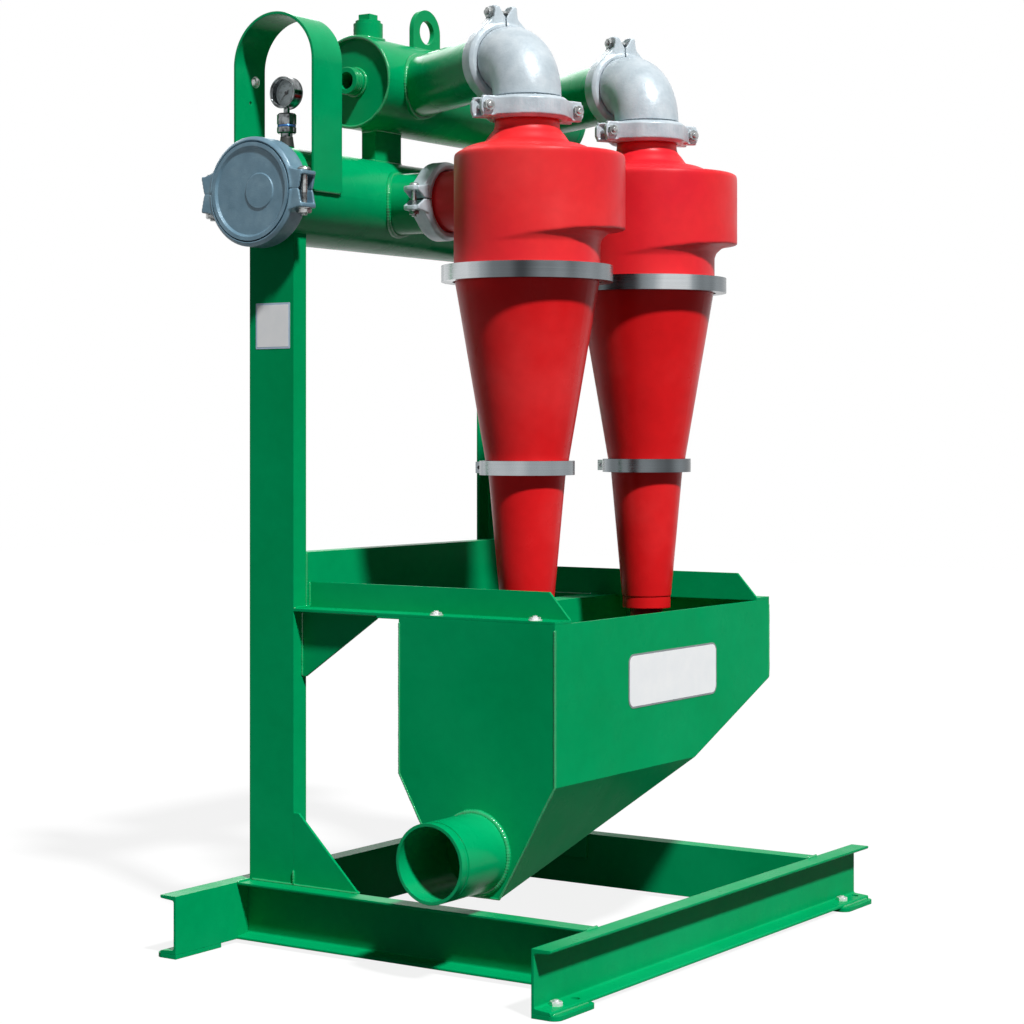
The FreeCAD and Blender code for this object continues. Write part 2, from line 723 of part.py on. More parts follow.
def feed_manifold():
    """Header with two stubs to the cyclones, grooved at both ends of its run."""
    start = "(%s + feed_front)" % FRONT_END
    end = "(feed_length)"
    outer = "header_od / 2"
    groove = "header_od / 2 - groove_depth"
    points = [("0", "0"), (outer, "0"), (outer, "groove_from_end"), (groove, "groove_from_end"),
              (groove, "groove_from_end + groove_width"), (outer, "groove_from_end + groove_width"),
              (outer, end + " - groove_from_end - groove_width"),
              (groove, end + " - groove_from_end - groove_width"),
              (groove, end + " - groove_from_end"), (outer, end + " - groove_from_end"),
              (outer, end), ("0", end)]
    solids = [lathe("feed_header", points, (HEADER_X, start, "feed_height"), ALONG_Y)]
    bores = [cylinder("feed_header_bore", "header_od / 2 - header_wall", "feed_length",
                      (HEADER_X, start, "feed_height"), ALONG_Y)]
    for number in range(2):
        at = (HEADER_X, cone_y(number) + " + inlet_offset", "feed_height")
        solids.append(grooved_bar("feed_stub_%d" % number, "branch_od",
                                  "(feed_joint_reach - pipe_gap / 2)", at, ALONG_X))
        bores.append(cylinder("feed_stub_bore_%d" % number, "branch_od / 2 - branch_wall",
                              "feed_joint_reach - pipe_gap / 2", at, ALONG_X))
    publish(cut("feed_manifold", fuse("feed_outside", solids), bores), "feed_manifold")


def overflow_manifold():
    """Upper header: blind disc with a boss at the front, vent boss on top, two branches."""
    start = "(%s + overflow_front)" % FRONT_END
    outside = grooved_bar("overflow_header", "header_od", "overflow_length",
                          (HEADER_X, start, "overflow_z"), ALONG_Y)
    boss = cylinder("overflow_boss", "boss_od / 2", "boss_length",
                    (HEADER_X, "%s + end_disc_recess + end_disc_thick - boss_length" % start,
                     "overflow_z"), ALONG_Y)
    vent = cylinder("overflow_vent", "vent_od / 2", "header_od / 2 + vent_height",
                    (HEADER_X, start + " + vent_from_front", "overflow_z"))
    solids = [outside, boss, vent]
    bores = [cylinder("overflow_bore", "header_od / 2 - header_wall",
                      "overflow_length - end_disc_recess - end_disc_thick",
                      (HEADER_X, "%s + end_disc_recess + end_disc_thick" % start, "overflow_z"),
                      ALONG_Y),
             cylinder("overflow_boss_bore", "boss_bore / 2", "boss_length",
                      (HEADER_X, "%s + end_disc_recess + end_disc_thick - boss_length" % start,
                       "overflow_z"), ALONG_Y),
             cylinder("overflow_vent_bore", "vent_bore / 2", "header_od / 2 + vent_height",
                      (HEADER_X, start + " + vent_from_front", "overflow_z"))]
    recess = cut("overflow_recess", cylinder("overflow_recess_disc", "header_od / 2 - header_wall",
                                             "end_disc_recess",
                                             (HEADER_X, start, "overflow_z"), ALONG_Y),
                 [cylinder("overflow_recess_core", "boss_od / 2", "end_disc_recess",
                           (HEADER_X, start, "overflow_z"), ALONG_Y)])
    bores.append(recess)
    length = "(cone_reach / cos(branch_angle) - elbow_reach - pipe_gap)"
    for number in range(2):
        bar = grooved_bar("overflow_branch_bar_%d" % number, "branch_od", length, ("0", "0", "0"),
                          ALONG_X)
        hole = cylinder("overflow_branch_hole_%d" % number, "branch_od / 2 - branch_wall", length,
                        ("0", "0", "0"), ALONG_X)
        at = (HEADER_X, "%s + %s" % (cone_y(number), BEND_RUN), "overflow_z")
        solids.append(group("overflow_branch_%d" % number, [bar], at, None, "0 - branch_angle"))
        bores.append(group("overflow_branch_bore_%d" % number, [hole], at, None, "0 - branch_angle"))
    publish(cut("overflow_manifold", fuse("overflow_outside", solids), bores), "overflow_manifold")


def vent_plug():
    """Threaded plug with a round collar and a square head."""
    at_y = "%s + overflow_front + vent_from_front" % FRONT_END
    top = "(overflow_z + header_od / 2 + vent_height)"
    thread = cylinder("vent_thread", "vent_bore / 2 - seat_gap", "vent_thread_depth",
                      (HEADER_X, at_y, top + " - vent_thread_depth"))
    collar = cylinder("vent_collar", "vent_collar_od / 2", "vent_collar_height", (HEADER_X, at_y, top))
    head = box("vent_head", "vent_head_across", "vent_head_across", "vent_head_height",
               (HEADER_X + " - vent_head_across / 2", at_y + " - vent_head_across / 2",
                top + " + vent_collar_height"))
    publish(fuse("vent_plug", [thread, collar, head]), "vent_plug")


def lifting_eye():
    """Upright plate with a round top and hole, coped to the overflow header."""
    at_y = "(%s + overflow_front + eye_from_front)" % FRONT_END
    hole_z = "(overflow_z + eye_rise)"
    x = HEADER_X + " - eye_thick / 2"
    slab = box("eye_slab", "eye_thick", "2 * eye_radius", "eye_rise",
               (x, at_y + " - eye_radius", "overflow_z"))
    crown = cylinder("eye_crown", "eye_radius", "eye_thick", (x, at_y, hole_z), ALONG_X)
    hole = cylinder("eye_hole", "eye_hole_radius", "eye_thick", (x, at_y, hole_z), ALONG_X)
    saddle = cylinder("eye_saddle", "header_od / 2", "overflow_length",
                      (HEADER_X, "%s + overflow_front" % FRONT_END, "overflow_z"), ALONG_Y)
    publish(cut("lifting_eye", fuse("eye_blank", [slab, crown]), [hole, saddle]), "lifting_eye")


def posts():
    """Short channels that stand on the feed header and carry the overflow header."""
    for number, label in enumerate(("front_post", "rear_post")):
        y = "%s + post_first + %d * post_pitch + post_width / 2" % (FRONT_END, number)
        bar = channel(label + "_bar", "header_rise",
                      (HEADER_X + " + post_flange / 2", y, "feed_height"), ((-1, 0, 0), (0, 0, 1)),
                      "post_width", "post_flange", "post_wall", "post_wall", "post_wall")
        low = cylinder(label + "_low_cope", "header_od / 2", "skid_length",
                       (HEADER_X, FRONT_END, "feed_height"), ALONG_Y)
        high = cylinder(label + "_high_cope", "header_od / 2", "skid_length",
                        (HEADER_X, FRONT_END, "overflow_z"), ALONG_Y)
        publish(cut(label, bar, [low, high]), label)


# Gauge and guard

def gauge_guard():
    """Strap bent over the gauge and welded to both sides of the feed header."""
    y = "%s + guard_front" % FRONT_END
    bottom = "(feed_height + guard_end_rise)"
    top = "(feed_height + guard_rise)"
    inner = "(header_od / 2)"
    outer = "(header_od / 2 + guard_thick)"
    block = box("guard_block", "2 * " + outer, "guard_width", "%s - %s" % (top, bottom),
                ("%s - %s" % (HEADER_X, outer), y, bottom))
    crown = cylinder("guard_crown", outer, "guard_width", (HEADER_X, y, top), ALONG_Y)
    hollow = box("guard_hollow", "2 * " + inner, "guard_width", "%s - %s" % (top, bottom),
                 ("%s - %s" % (HEADER_X, inner), y, bottom))
    arch = cylinder("guard_arch", inner, "guard_width", (HEADER_X, y, top), ALONG_Y)
    hole = cylinder("guard_hole", "guard_hole_radius", outer,
                    ("%s - %s" % (HEADER_X, outer), y + " + guard_width / 2",
                     "feed_height + guard_hole_rise"), ALONG_X)
    publish(cut("gauge_guard", fuse("guard_blank", [block, crown]), [hollow, arch, hole]), "gauge_guard")


GAUGE_Y = "(%s + gauge_front)" % FRONT_END
GAUGE_Z = "(feed_height + gauge_rise)"


def gauge():
    """Pressure gauge that faces the front, on a seal and a nipple."""
    back = (HEADER_X, GAUGE_Y + " + gauge_depth", GAUGE_Z)
    outer = "gauge_od / 2"
    inner = "(gauge_od / 2 - gauge_shell)"
    lip = "(gauge_od / 2 - gauge_shell - gauge_bezel_lip)"
    bezel = "gauge_depth - gauge_bezel_depth"
    bore = "(pointer_shaft + pointer_clearance)"
    case = lathe("gauge_case", [(bore, "0"), (outer, "0"), (outer, "gauge_depth"), (lip, "gauge_depth"),
                                (lip, bezel), (inner, bezel), (inner, "gauge_movement"),
                                (bore, "gauge_movement")], back, AGAINST_Y)
    publish(case, "gauge_case")
    face = "%s - seat_gap" % inner
    dial = lathe("gauge_dial", [(bore, "gauge_movement"), (face, "gauge_movement"),
                                (face, "gauge_movement + dial_thick"),
                                (bore, "gauge_movement + dial_thick")], back, AGAINST_Y)
    publish(dial, "gauge_dial")
    glass = cylinder("gauge_glass", face, "glass_thick",
                     (HEADER_X, GAUGE_Y + " + gauge_bezel_depth + glass_thick", GAUGE_Z), AGAINST_Y)
    publish(glass, "gauge_glass")


def gauge_pointer():
    """Pointer on its shaft, at rest at the lower left of the dial."""
    tip = "pointer_length"
    half = "pointer_width / 2"
    blade = plate("pointer_blade", [("0 - pointer_tail", "0 - " + half), ("0", "0 - " + half),
                                    (tip, "0 - %s / 4" % half), (tip, half + " / 4"), ("0", half),
                                    ("0 - pointer_tail", half)], "pointer_thick",
                  ("0", "0", "gauge_movement + dial_thick + pointer_lift"))
    shaft = cylinder("pointer_shaft", "pointer_shaft", "gauge_movement + dial_thick + pointer_lift",
                     ("0", "0", "0"))
    hub = cylinder("pointer_hub", "pointer_hub", "2 * pointer_thick",
                   ("0", "0", "gauge_movement + dial_thick + pointer_lift"))
    whole = fuse("pointer_blank", [blade, shaft, hub])
    turned = group("pointer_turned", [whole], ("0", "0", "0"), None, "pointer_rest_angle")
    pointer = group("gauge_pointer", [turned], (HEADER_X, GAUGE_Y + " + gauge_depth", GAUGE_Z),
                    ((1, 0, 0), (0, -1, 0)))
    publish(pointer, "gauge_pointer")


def gauge_seal():
    """Nipple, seal body with a clamp ring, and the stem of the gauge."""
    body_low = "nipple_height"
    body_high = "(nipple_height + seal_height)"
    ring_low = "(nipple_height + seal_height * 0.3)"
    ring_high = "(nipple_height + seal_height * 0.3 + seal_ring_height)"
    stem_top = "(gauge_rise - header_od / 2 - gauge_od / 2)"
    edge = "(seal_od / 2)"
    points = [("0", "0"), ("nipple_od / 2", "0"), ("nipple_od / 2", body_low),
              (edge + " - 3", body_low), (edge, body_low + " + 3"), (edge, ring_low),
              ("seal_ring_od / 2", ring_low), ("seal_ring_od / 2", ring_high), (edge, ring_high),
              (edge, body_high + " - 3"), (edge + " - 3", body_high),
              ("gauge_stem_od / 2", body_high), ("gauge_stem_od / 2", stem_top + " + 1"),
              ("0", stem_top + " + 1")]
    stack = lathe("gauge_seal_stack", points, (HEADER_X, GAUGE_Y + " + gauge_depth / 2",
                                               "feed_height + header_od / 2"))
    round_case = cylinder("gauge_seal_cope", "gauge_od / 2", "gauge_depth",
                          (HEADER_X, GAUGE_Y, GAUGE_Z), ALONG_Y)
    publish(cut("gauge_seal", stack, [round_case]), "gauge_seal")


# Hydrocyclones, drawn about their own axis at floor height

def spiral(name, radius, step, end_y, length, low, high, flat_y):
    """Prism of the volute's plan: a half circle off centre, a quarter circle and the duct."""
    body = DOC.addObject("PartDesign::Body", name)
    sketch = body.newObject("Sketcher::SketchObject", name + "_plan")
    plane = [item for item in body.Origin.OriginFeatures if item.Role == "XY_Plane"][0]
    sketch.AttachmentSupport = [(plane, "")]
    sketch.MapMode = "FlatFace"
    r = value(radius)
    s = value(step)
    far = value(end_y)
    near = value(flat_y)
    run = value(length)
    meet = math.sqrt(r * r - near * near)
    big = Part.Circle(Vector(0, s, 0), Vector(0, 0, 1), r + s)
    small = Part.Circle(Vector(0, 0, 0), Vector(0, 0, 1), r)
    sketch.addGeometry(Part.ArcOfCircle(big, -math.pi / 2, math.pi / 2), False)
    sketch.addGeometry(Part.LineSegment(Vector(0, far, 0), Vector(-run, far, 0)), False)
    sketch.addGeometry(Part.LineSegment(Vector(-run, far, 0), Vector(-run, near, 0)), False)
    sketch.addGeometry(Part.LineSegment(Vector(-run, near, 0), Vector(-meet, near, 0)), False)
    start = math.atan2(near, -meet)
    sketch.addGeometry(Part.ArcOfCircle(small, start, 1.5 * math.pi), False)
    sketch.addConstraint(Sketcher.Constraint("Coincident", 0, 2, 1, 1))
    sketch.addConstraint(Sketcher.Constraint("Coincident", 1, 2, 2, 1))
    sketch.addConstraint(Sketcher.Constraint("Coincident", 2, 2, 3, 1))
    sketch.addConstraint(Sketcher.Constraint("Coincident", 3, 2, 4, 1))
    sketch.addConstraint(Sketcher.Constraint("Coincident", 4, 2, 0, 1))
    sketch.addConstraint(Sketcher.Constraint("Coincident", 4, 3, -1, 1))
    sketch.addConstraint(Sketcher.Constraint("PointOnObject", 0, 3, -2))
    sketch.addConstraint(Sketcher.Constraint("PointOnObject", 0, 1, -2))
    sketch.addConstraint(Sketcher.Constraint("PointOnObject", 0, 2, -2))
    sketch.addConstraint(Sketcher.Constraint("Horizontal", 1))
    sketch.addConstraint(Sketcher.Constraint("Vertical", 2))
    sketch.addConstraint(Sketcher.Constraint("Horizontal", 3))
    place = sketch.addConstraint(Sketcher.Constraint("Radius", 4, r))
    sketch.renameConstraint(place, "barrel")
    bind(sketch, "Constraints.barrel", radius)
    pin(sketch, "DistanceY", 0, 3, s, "step", step)
    pin(sketch, "DistanceX", 1, 2, -run, "run", "0 - " + length)
    pin(sketch, "DistanceY", 2, 2, near, "near", flat_y)
    pad = body.newObject("PartDesign::Pad", name + "_pad")
    pad.Profile = sketch
    bind(pad, "Length", "%s - %s" % (high, low))
    bind(body, ".Placement.Base.z", low)
    return body


VOLUTE_STEP = "((inlet_offset + branch_od / 2 - barrel_radius) / 2)"
BORE_STEP = "((inlet_offset + inlet_bore - liner_bore) / 2)"
VOLUTE_LOW = "(feed_height - volute_drop)"
VOLUTE_TOP = "(feed_height + volute_rise)"
NECK_TOP = "(overflow_z - elbow_reach - pipe_gap)"
NOZZLE_RUN = "(cone_reach - feed_joint_reach - pipe_gap / 2)"


def head_outside():
    """Volute cut back under its overhang, dome, neck, barrel, flange and inlet nozzle."""
    blend_low = "(%s - volute_blend)" % VOLUTE_LOW
    prism = spiral("head_volute", "barrel_radius", VOLUTE_STEP, "inlet_offset + branch_od / 2",
                   "duct_length", blend_low, VOLUTE_TOP, "inlet_offset - branch_od / 2")
    wide = "(barrel_radius + 2 * %s)" % VOLUTE_STEP
    far = "(%s + duct_length)" % wide
    waist = "(%s - barrel_radius)" % wide
    trim = lathe("head_trim", [("0", blend_low), ("barrel_radius", blend_low),
                               ("barrel_radius + %s * 0.06" % waist, blend_low + " + volute_blend * 0.35"),
                               ("barrel_radius + %s * 0.25" % waist, blend_low + " + volute_blend * 0.7"),
                               ("barrel_radius + %s * 0.55" % waist, blend_low + " + volute_blend * 0.9"),
                               (wide, VOLUTE_LOW), (far, VOLUTE_LOW), (far, VOLUTE_TOP),
                               ("0", VOLUTE_TOP)])
    volute = common("head_volute_trimmed", [prism, trim])
    low = "flange_z"
    shoulder = "(%s + dome_height)" % VOLUTE_TOP
    neck = "branch_od / 2"
    groove = "branch_od / 2 - groove_depth"
    stop = "%s - groove_from_end" % NECK_TOP
    start = "%s - groove_width" % stop
    core = lathe("head_core", [("0", low), ("flange_radius", low), ("flange_radius", low + " + flange_lip"),
                               ("barrel_radius", low + " + flange_lip"),
                               ("barrel_radius", VOLUTE_LOW), ("dome_base", VOLUTE_TOP),
                               (neck + " + 22", shoulder + " - 7"), (neck + " + 6", shoulder + " + 4"),
                               (neck, shoulder + " + 14"), (neck, start), (groove, start),
                               (groove, stop), (neck, stop), (neck, NECK_TOP), ("0", NECK_TOP)])
    nozzle = grooved_bar("head_nozzle", "branch_od", NOZZLE_RUN, ("0", "inlet_offset", "feed_height"),
                         ((0, -1, 0), (-1, 0, 0)))
    return fuse("head_outside", [volute, core, nozzle])


def head_inside():
    """Feed chamber, its tangent inlet bore and the seat of the vortex finder."""
    low = "(feed_height - chamber_half)"
    high = "(feed_height + chamber_half)"
    chamber = spiral("head_chamber", "liner_bore", BORE_STEP, "inlet_offset + inlet_bore",
                     "duct_length", low, high, "inlet_offset - inlet_bore")
    ledge = "(%s + 26)" % high
    bore = lathe("head_bore", [("0", "flange_z"), ("liner_bore", "flange_z"), ("liner_bore", high),
                               ("finder_od / 2 + seat_gap", high), ("finder_od / 2 + seat_gap", ledge),
                               ("neck_bore", ledge), ("neck_bore", NECK_TOP), ("0", NECK_TOP)])
    inlet = cylinder("head_inlet_bore", "inlet_bore", NOZZLE_RUN, ("0", "inlet_offset", "feed_height"),
                     ((0, -1, 0), (-1, 0, 0)))
    return [chamber, bore, inlet]


def cone_parts():
    """One hydrocyclone: head, vortex finder, two clamp rings, two cones and the apex."""
    parts = {}
    parts["head"] = cut("head_master", head_outside(), head_inside())
    ledge = "(feed_height + chamber_half + 26)"
    parts["vortex_finder"] = lathe("finder_master", [
        ("finder_od / 2 - finder_wall", ledge + " - finder_length"),
        ("finder_od / 2", ledge + " - finder_length"), ("finder_od / 2", ledge),
        ("neck_bore - seat_gap", ledge), ("neck_bore - seat_gap", ledge + " + finder_collar"),
        ("finder_od / 2 - finder_wall", ledge + " + finder_collar")])
    parts["upper_ring"] = clamp_ring("upper_ring_master", "flange_z", "ring_radius", "ring_depth",
                                     "ring_lap", "flange_radius", "flange_lip")
    low = "(tail_flange_z)"
    parts["upper_cone"] = lathe("upper_cone_master", [
        ("liner_bore", "flange_z"), ("flange_radius", "flange_z"),
        ("flange_radius", "flange_z - flange_lip"), ("cone_top_radius", "flange_z - flange_lip"),
        ("cone_top_radius", "flange_z - ring_depth / 2"),
        ("cone_waist_radius", low + " + small_ring_depth / 2"),
        ("cone_waist_radius - 3", low + " + tail_flange_lip"),
        ("tail_flange_radius", low + " + tail_flange_lip"), ("tail_flange_radius", low),
        ("cone_mid_bore", low)])
    parts["lower_ring"] = clamp_ring("lower_ring_master", "tail_flange_z", "small_ring_radius",
                                     "small_ring_depth", "small_ring_lap", "tail_flange_radius",
                                     "tail_flange_lip")
    tip = "tip_z"
    socket = "(tip_z + apex_socket)"
    parts["lower_cone"] = lathe("lower_cone_master", [
        ("cone_mid_bore", low), ("tail_flange_radius", low),
        ("tail_flange_radius", low + " - tail_flange_lip"),
        ("tail_top_radius", low + " - tail_flange_lip"),
        ("tail_top_radius", low + " - small_ring_depth / 2"),
        ("tail_tip_radius", "tip_z + tip_band"), ("tip_band_radius", "tip_z + tip_band"),
        ("tip_band_radius", tip), ("apex_radius + seat_gap", tip), ("apex_radius + seat_gap", socket),
        ("tail_end_bore", socket)])
    parts["apex"] = lathe("apex_master", [
        ("apex_bore", "tip_z - apex_length"), ("apex_radius", "tip_z - apex_length"),
        ("apex_radius", socket), ("tail_end_bore", socket), ("apex_bore", tip)])
    return parts


def clamp_ring(name, z, radius, depth, lap, flange, lip):
    """Split ring of C section over two flanges, with a bolt lug at each side of the split."""
    inside = "(%s - %s)" % (flange, lap)
    half = "(%s / 2)" % depth
    room = "(%s + seat_gap)" % flange
    lips = "(%s + seat_gap)" % lip
    turned = lathe(name + "_ring", [
        (inside, "%s - %s" % (z, half)), (radius, "%s - %s" % (z, half)),
        (radius, "%s + %s" % (z, half)), (inside, "%s + %s" % (z, half)),
        (inside, "%s + %s" % (z, lips)), (room, "%s + %s" % (z, lips)),
        (room, "%s - %s" % (z, lips)), (inside, "%s - %s" % (z, lips))])
    lug = box(name + "_lug", "26", "ring_slot + 24", depth + " - 6",
              ("0 - %s - 22" % radius, "0 - ring_slot / 2 - 12", "%s - %s + 3" % (z, half)))
    whole = fuse(name + "_blank", [turned, lug])
    slot = box(name + "_slot", "60", "ring_slot", depth,
               ("0 - %s - 30" % radius, "0 - ring_slot / 2", "%s - %s" % (z, half)))
    hole = cylinder(name + "_bolt_hole", "4.3", "ring_slot + 24",
                    ("0 - %s - 13" % radius, "0 - ring_slot / 2 - 12", z), ALONG_Y)
    return cut(name, whole, [slot, hole])


def cyclones():
    parts = cone_parts()
    for number, side in enumerate(("front", "rear")):
        for kind, master in parts.items():
            label = "%s_%s" % (side, kind)
            publish(group(label, [master], (CONE_X, cone_y(number), "0")), label)


# Elbows

def elbow_master():
    """Cast quarter bend: swollen body between two grooved collars."""
    bend = "(elbow_reach - elbow_collar)"
    body = torus("elbow_bend", bend, "elbow_od / 2")
    hollow = torus("elbow_hollow", bend, "elbow_bore / 2")
    foot = grooved_bar("elbow_foot", "branch_od", "elbow_collar", ("0", "0", "elbow_collar"),
                       ((1, 0, 0), (0, 0, -1)))
    arm = grooved_bar("elbow_arm", "branch_od", "elbow_collar", (bend, "0", "elbow_reach"),
                      ((0, 1, 0), (1, 0, 0)))
    foot_bore = cylinder("elbow_foot_bore", "elbow_bore / 2", "elbow_collar")
    arm_bore = cylinder("elbow_arm_bore", "elbow_bore / 2", "elbow_collar", (bend, "0", "elbow_reach"),
                        ((0, 1, 0), (1, 0, 0)))
    return cut("elbow_master", fuse("elbow_outside", [body, foot, arm]), [hollow, foot_bore, arm_bore])


def torus(name, bend, radius):
    obj = DOC.addObject("Part::Torus", name)
    bind(obj, "Radius1", bend)
    bind(obj, "Radius2", radius)
    obj.Angle3 = 90
    return put(obj, (bend, "0", "elbow_collar"), ((-1, 0, 0), (0, 1, 0)))


def elbows():
    master = elbow_master()
    for number, side in enumerate(("front", "rear")):
        label = side + "_elbow"
        publish(group(label, [master], (CONE_X, cone_y(number), "overflow_z - elbow_reach"),
                      None, "180 - branch_angle"), label)


# Grooved couplings, drawn about local Z with the joint at zero and ears along local X

def coupling_master(name, od, prefix, pipe):
    """Two cast half shells with ears, keyed into the grooves of both pipes."""
    rim = "(%s / 2)" % od
    half = "(%s_width / 2)" % prefix
    bare = "(%s / 2 + 0.6)" % pipe
    key = "(%s / 2 - groove_depth + 0.4)" % pipe
    seat = "(%s / 2 + gasket_thick)" % pipe
    inside = "(groove_from_end + pipe_gap / 2 + 0.4)"
    outside = "(groove_from_end + pipe_gap / 2 + groove_width - 0.4)"
    points = [(seat, "0 - " + inside), (key, "0 - " + inside), (key, "0 - " + outside),
              (bare, "0 - " + outside), (bare, "0 - " + half), (rim + " - 7", "0 - " + half),
              (rim, "6 - " + half), (rim, half + " - 6"), (rim + " - 7", half), (bare, half),
              (bare, outside), (key, outside), (key, inside), (seat, inside)]
    ring = lathe(name + "_ring", points)
    ear = ear_names(prefix)
    pieces = [ring]
    for number, sign in enumerate(("0 +", "0 -")):
        low = "%s (%s / 2 - 4)" % (sign, od) if number == 0 else "0 - %s" % ear["reach"]
        pieces.append(box("%s_ear_%d" % (name, number), "%s - %s / 2 + 4" % (ear["reach"], od),
                          ear["height"], ear["width"],
                          (low, "0 - %s / 2" % ear["height"], "0 - %s / 2" % ear["width"])))
    whole = fuse(name + "_blank", pieces)
    reach = "(2 * %s)" % ear["reach"]
    tools = [box(name + "_split", reach, "coupling_split", "%s_width" % prefix,
                 ("0 - %s" % ear["reach"], "0 - coupling_split / 2", "0 - " + half))]
    for number, sign in enumerate(("0 +", "0 -")):
        tools.append(cylinder("%s_bolt_hole_%d" % (name, number), ear["radius"] + " + 0.4",
                              ear["height"], ("%s %s" % (sign, ear["bolt"]),
                                              "0 - %s / 2" % ear["height"], "0"), ALONG_Y))
        tools.append(ear_window(name, number, ear, rim))
    return cut(name, whole, tools)


def ear_names(prefix):
    """Names of the sizes that the ears of one kind of coupling use."""
    if prefix == "coupling":
        return {"reach": "ear_reach", "height": "ear_height", "width": "ear_width",
                "bolt": "ear_bolt_at", "radius": "ear_bolt_radius", "across": "ear_bolt_across",
                "head": "ear_bolt_head", "lug": "ear_lug", "wall": "ear_wall"}
    return {"reach": "cap_ear_reach", "height": "cap_ear_height", "width": "cap_ear_width",
            "bolt": "cap_bolt_at", "radius": "cap_bolt_radius", "across": "cap_bolt_across",
            "head": "cap_bolt_head", "lug": "cap_ear_lug", "wall": "cap_ear_wall"}


def ear_window(name, number, ear, rim):
    """Pocket in the end of one ear, where the bolt shows between the two lugs."""
    deep = "(%s - %s - 2)" % (ear["reach"], rim)
    low = "%s + 2" % rim if number == 0 else "0 - %s" % ear["reach"]
    tall = "(%s - 2 * %s)" % (ear["height"], ear["lug"])
    wide = "(%s - 2 * %s)" % (ear["width"], ear["wall"])
    return box("%s_window_%d" % (name, number), deep, tall, wide,
               (low, "0 - %s / 2" % tall, "0 - %s / 2" % wide))


def coupling_bolts(name, prefix):
    """The two bolts of one coupling, heads on one side and nuts on the other."""
    ear = ear_names(prefix)
    bolts = []
    for number, sign in enumerate(("0 +", "0 -")):
        x = "%s %s" % (sign, ear["bolt"])
        low = "0 - %s / 2 - %s" % (ear["height"], ear["head"])
        shank = cylinder("%s_shank_%d" % (name, number), ear["radius"],
                         "%s + 2 * %s + 6" % (ear["height"], ear["head"]), (x, low, "0"), ALONG_Y)
        head = hexagon("%s_head_%d" % (name, number), ear["across"], ear["head"], (x, low, "0"), ALONG_Y)
        nut = hexagon("%s_nut_%d" % (name, number), ear["across"], ear["head"],
                      (x, "%s / 2" % ear["height"], "0"), ALONG_Y)
        bolts.append(fuse("%s_%d" % (name, number), [shank, head, nut]))
    return group(name, bolts)


def gasket_master(name, pipe):
    """Rubber ring that bridges the two pipe ends inside the housing."""
    inner = "%s / 2 + 0.1" % pipe
    outer = "%s / 2 + gasket_thick - 0.1" % pipe
    high = "(groove_from_end + pipe_gap / 2)"
    return lathe(name, [(inner, "0 - " + high), (outer, "0 - " + high), (outer, high), (inner, high)])


def couplings():
    small = coupling_master("coupling_master", "coupling_od", "coupling", "branch_od")
    large = coupling_master("cap_coupling_master", "cap_coupling_od", "cap_coupling", "header_od")
    small_bolts = coupling_bolts("coupling_bolt_master", "coupling")
    large_bolts = coupling_bolts("cap_bolt_master", "cap_coupling")
    small_gasket = gasket_master("gasket_master", "branch_od")
    large_gasket = gasket_master("cap_gasket_master", "header_od")
    joint_y = "%s + feed_front - pipe_gap / 2" % FRONT_END
    spots = [("cap_coupling", large, large_bolts, large_gasket, (HEADER_X, joint_y, "feed_height"),
              ((1, 0, 0), (0, -1, 0)), None)]
    for number, side in enumerate(("front", "rear")):
        inlet_x = "%s + feed_joint_reach" % HEADER_X
        spots.append((side + "_inlet_coupling", small, small_bolts, small_gasket,
                      (inlet_x, cone_y(number) + " + inlet_offset", "feed_height"),
                      ((0, -1, 0), (1, 0, 0)), None))
        spots.append((side + "_neck_coupling", small, small_bolts, small_gasket,
                      (CONE_X, cone_y(number), "overflow_z - elbow_reach - pipe_gap / 2"),
                      None, "90 - branch_angle"))
        run = "(elbow_reach + pipe_gap / 2)"
        spots.append((side + "_elbow_coupling", small, small_bolts, small_gasket,
                      ("%s - %s * cos(branch_angle)" % (CONE_X, run),
                       "%s + %s * sin(branch_angle)" % (cone_y(number), run), "overflow_z"),
                      ((0, 0, 1), (1, 0, 0)), "0 - branch_angle"))
    bolts = []
    gaskets = []
    for label, housing, bolt, gasket, at, turn, angle in spots:
        publish(aimed(label, [housing], at, turn, angle), label)
        bolts.append(aimed(label + "_bolts", [bolt], at, turn, angle))
        gaskets.append(aimed(label + "_gasket", [gasket], at, turn, angle))
    publish(group("coupling_bolts", bolts), "coupling_bolts")
    publish(group("coupling_gaskets", gaskets), "coupling_gaskets")


def aimed(name, pieces, at, turn, angle):
    """Pieces first turned to face a way, then swung about the upright if they need it."""
    if turn and angle:
        pieces = [group(name + "_turned", pieces, ("0", "0", "0"), turn)]
        turn = None
    return group(name, pieces, at, turn, angle)


def end_cap():
    """Cast blind cap with a groove, a dished face and a low boss beside its middle."""
    rim = "header_od / 2"
    groove = "header_od / 2 - groove_depth"
    floor = "cap_thick - cap_dish_depth"
    face_y = "%s + feed_front - pipe_gap" % FRONT_END
    points = [("0", "0"), (rim, "0"), (rim, "groove_from_end"), (groove, "groove_from_end"),
              (groove, "groove_from_end + groove_width"), (rim, "groove_from_end + groove_width"),
              (rim, "cap_thick"), ("cap_dish_radius + cap_dish_depth", "cap_thick"),
              ("cap_dish_radius", floor), ("0", floor)]
    disc = lathe("end_cap_disc", points, (HEADER_X, face_y, "feed_height"), AGAINST_Y)
    boss = lathe("end_cap_boss", [("0", floor), ("cap_boss_radius + cap_boss_rise", floor),
                                  ("cap_boss_radius", floor + " + cap_boss_rise"),
                                  ("0", floor + " + cap_boss_rise")],
                 (HEADER_X + " + cap_boss_offset", face_y, "feed_height"), AGAINST_Y)
    publish(fuse("end_cap", [disc, boss]), "end_cap")


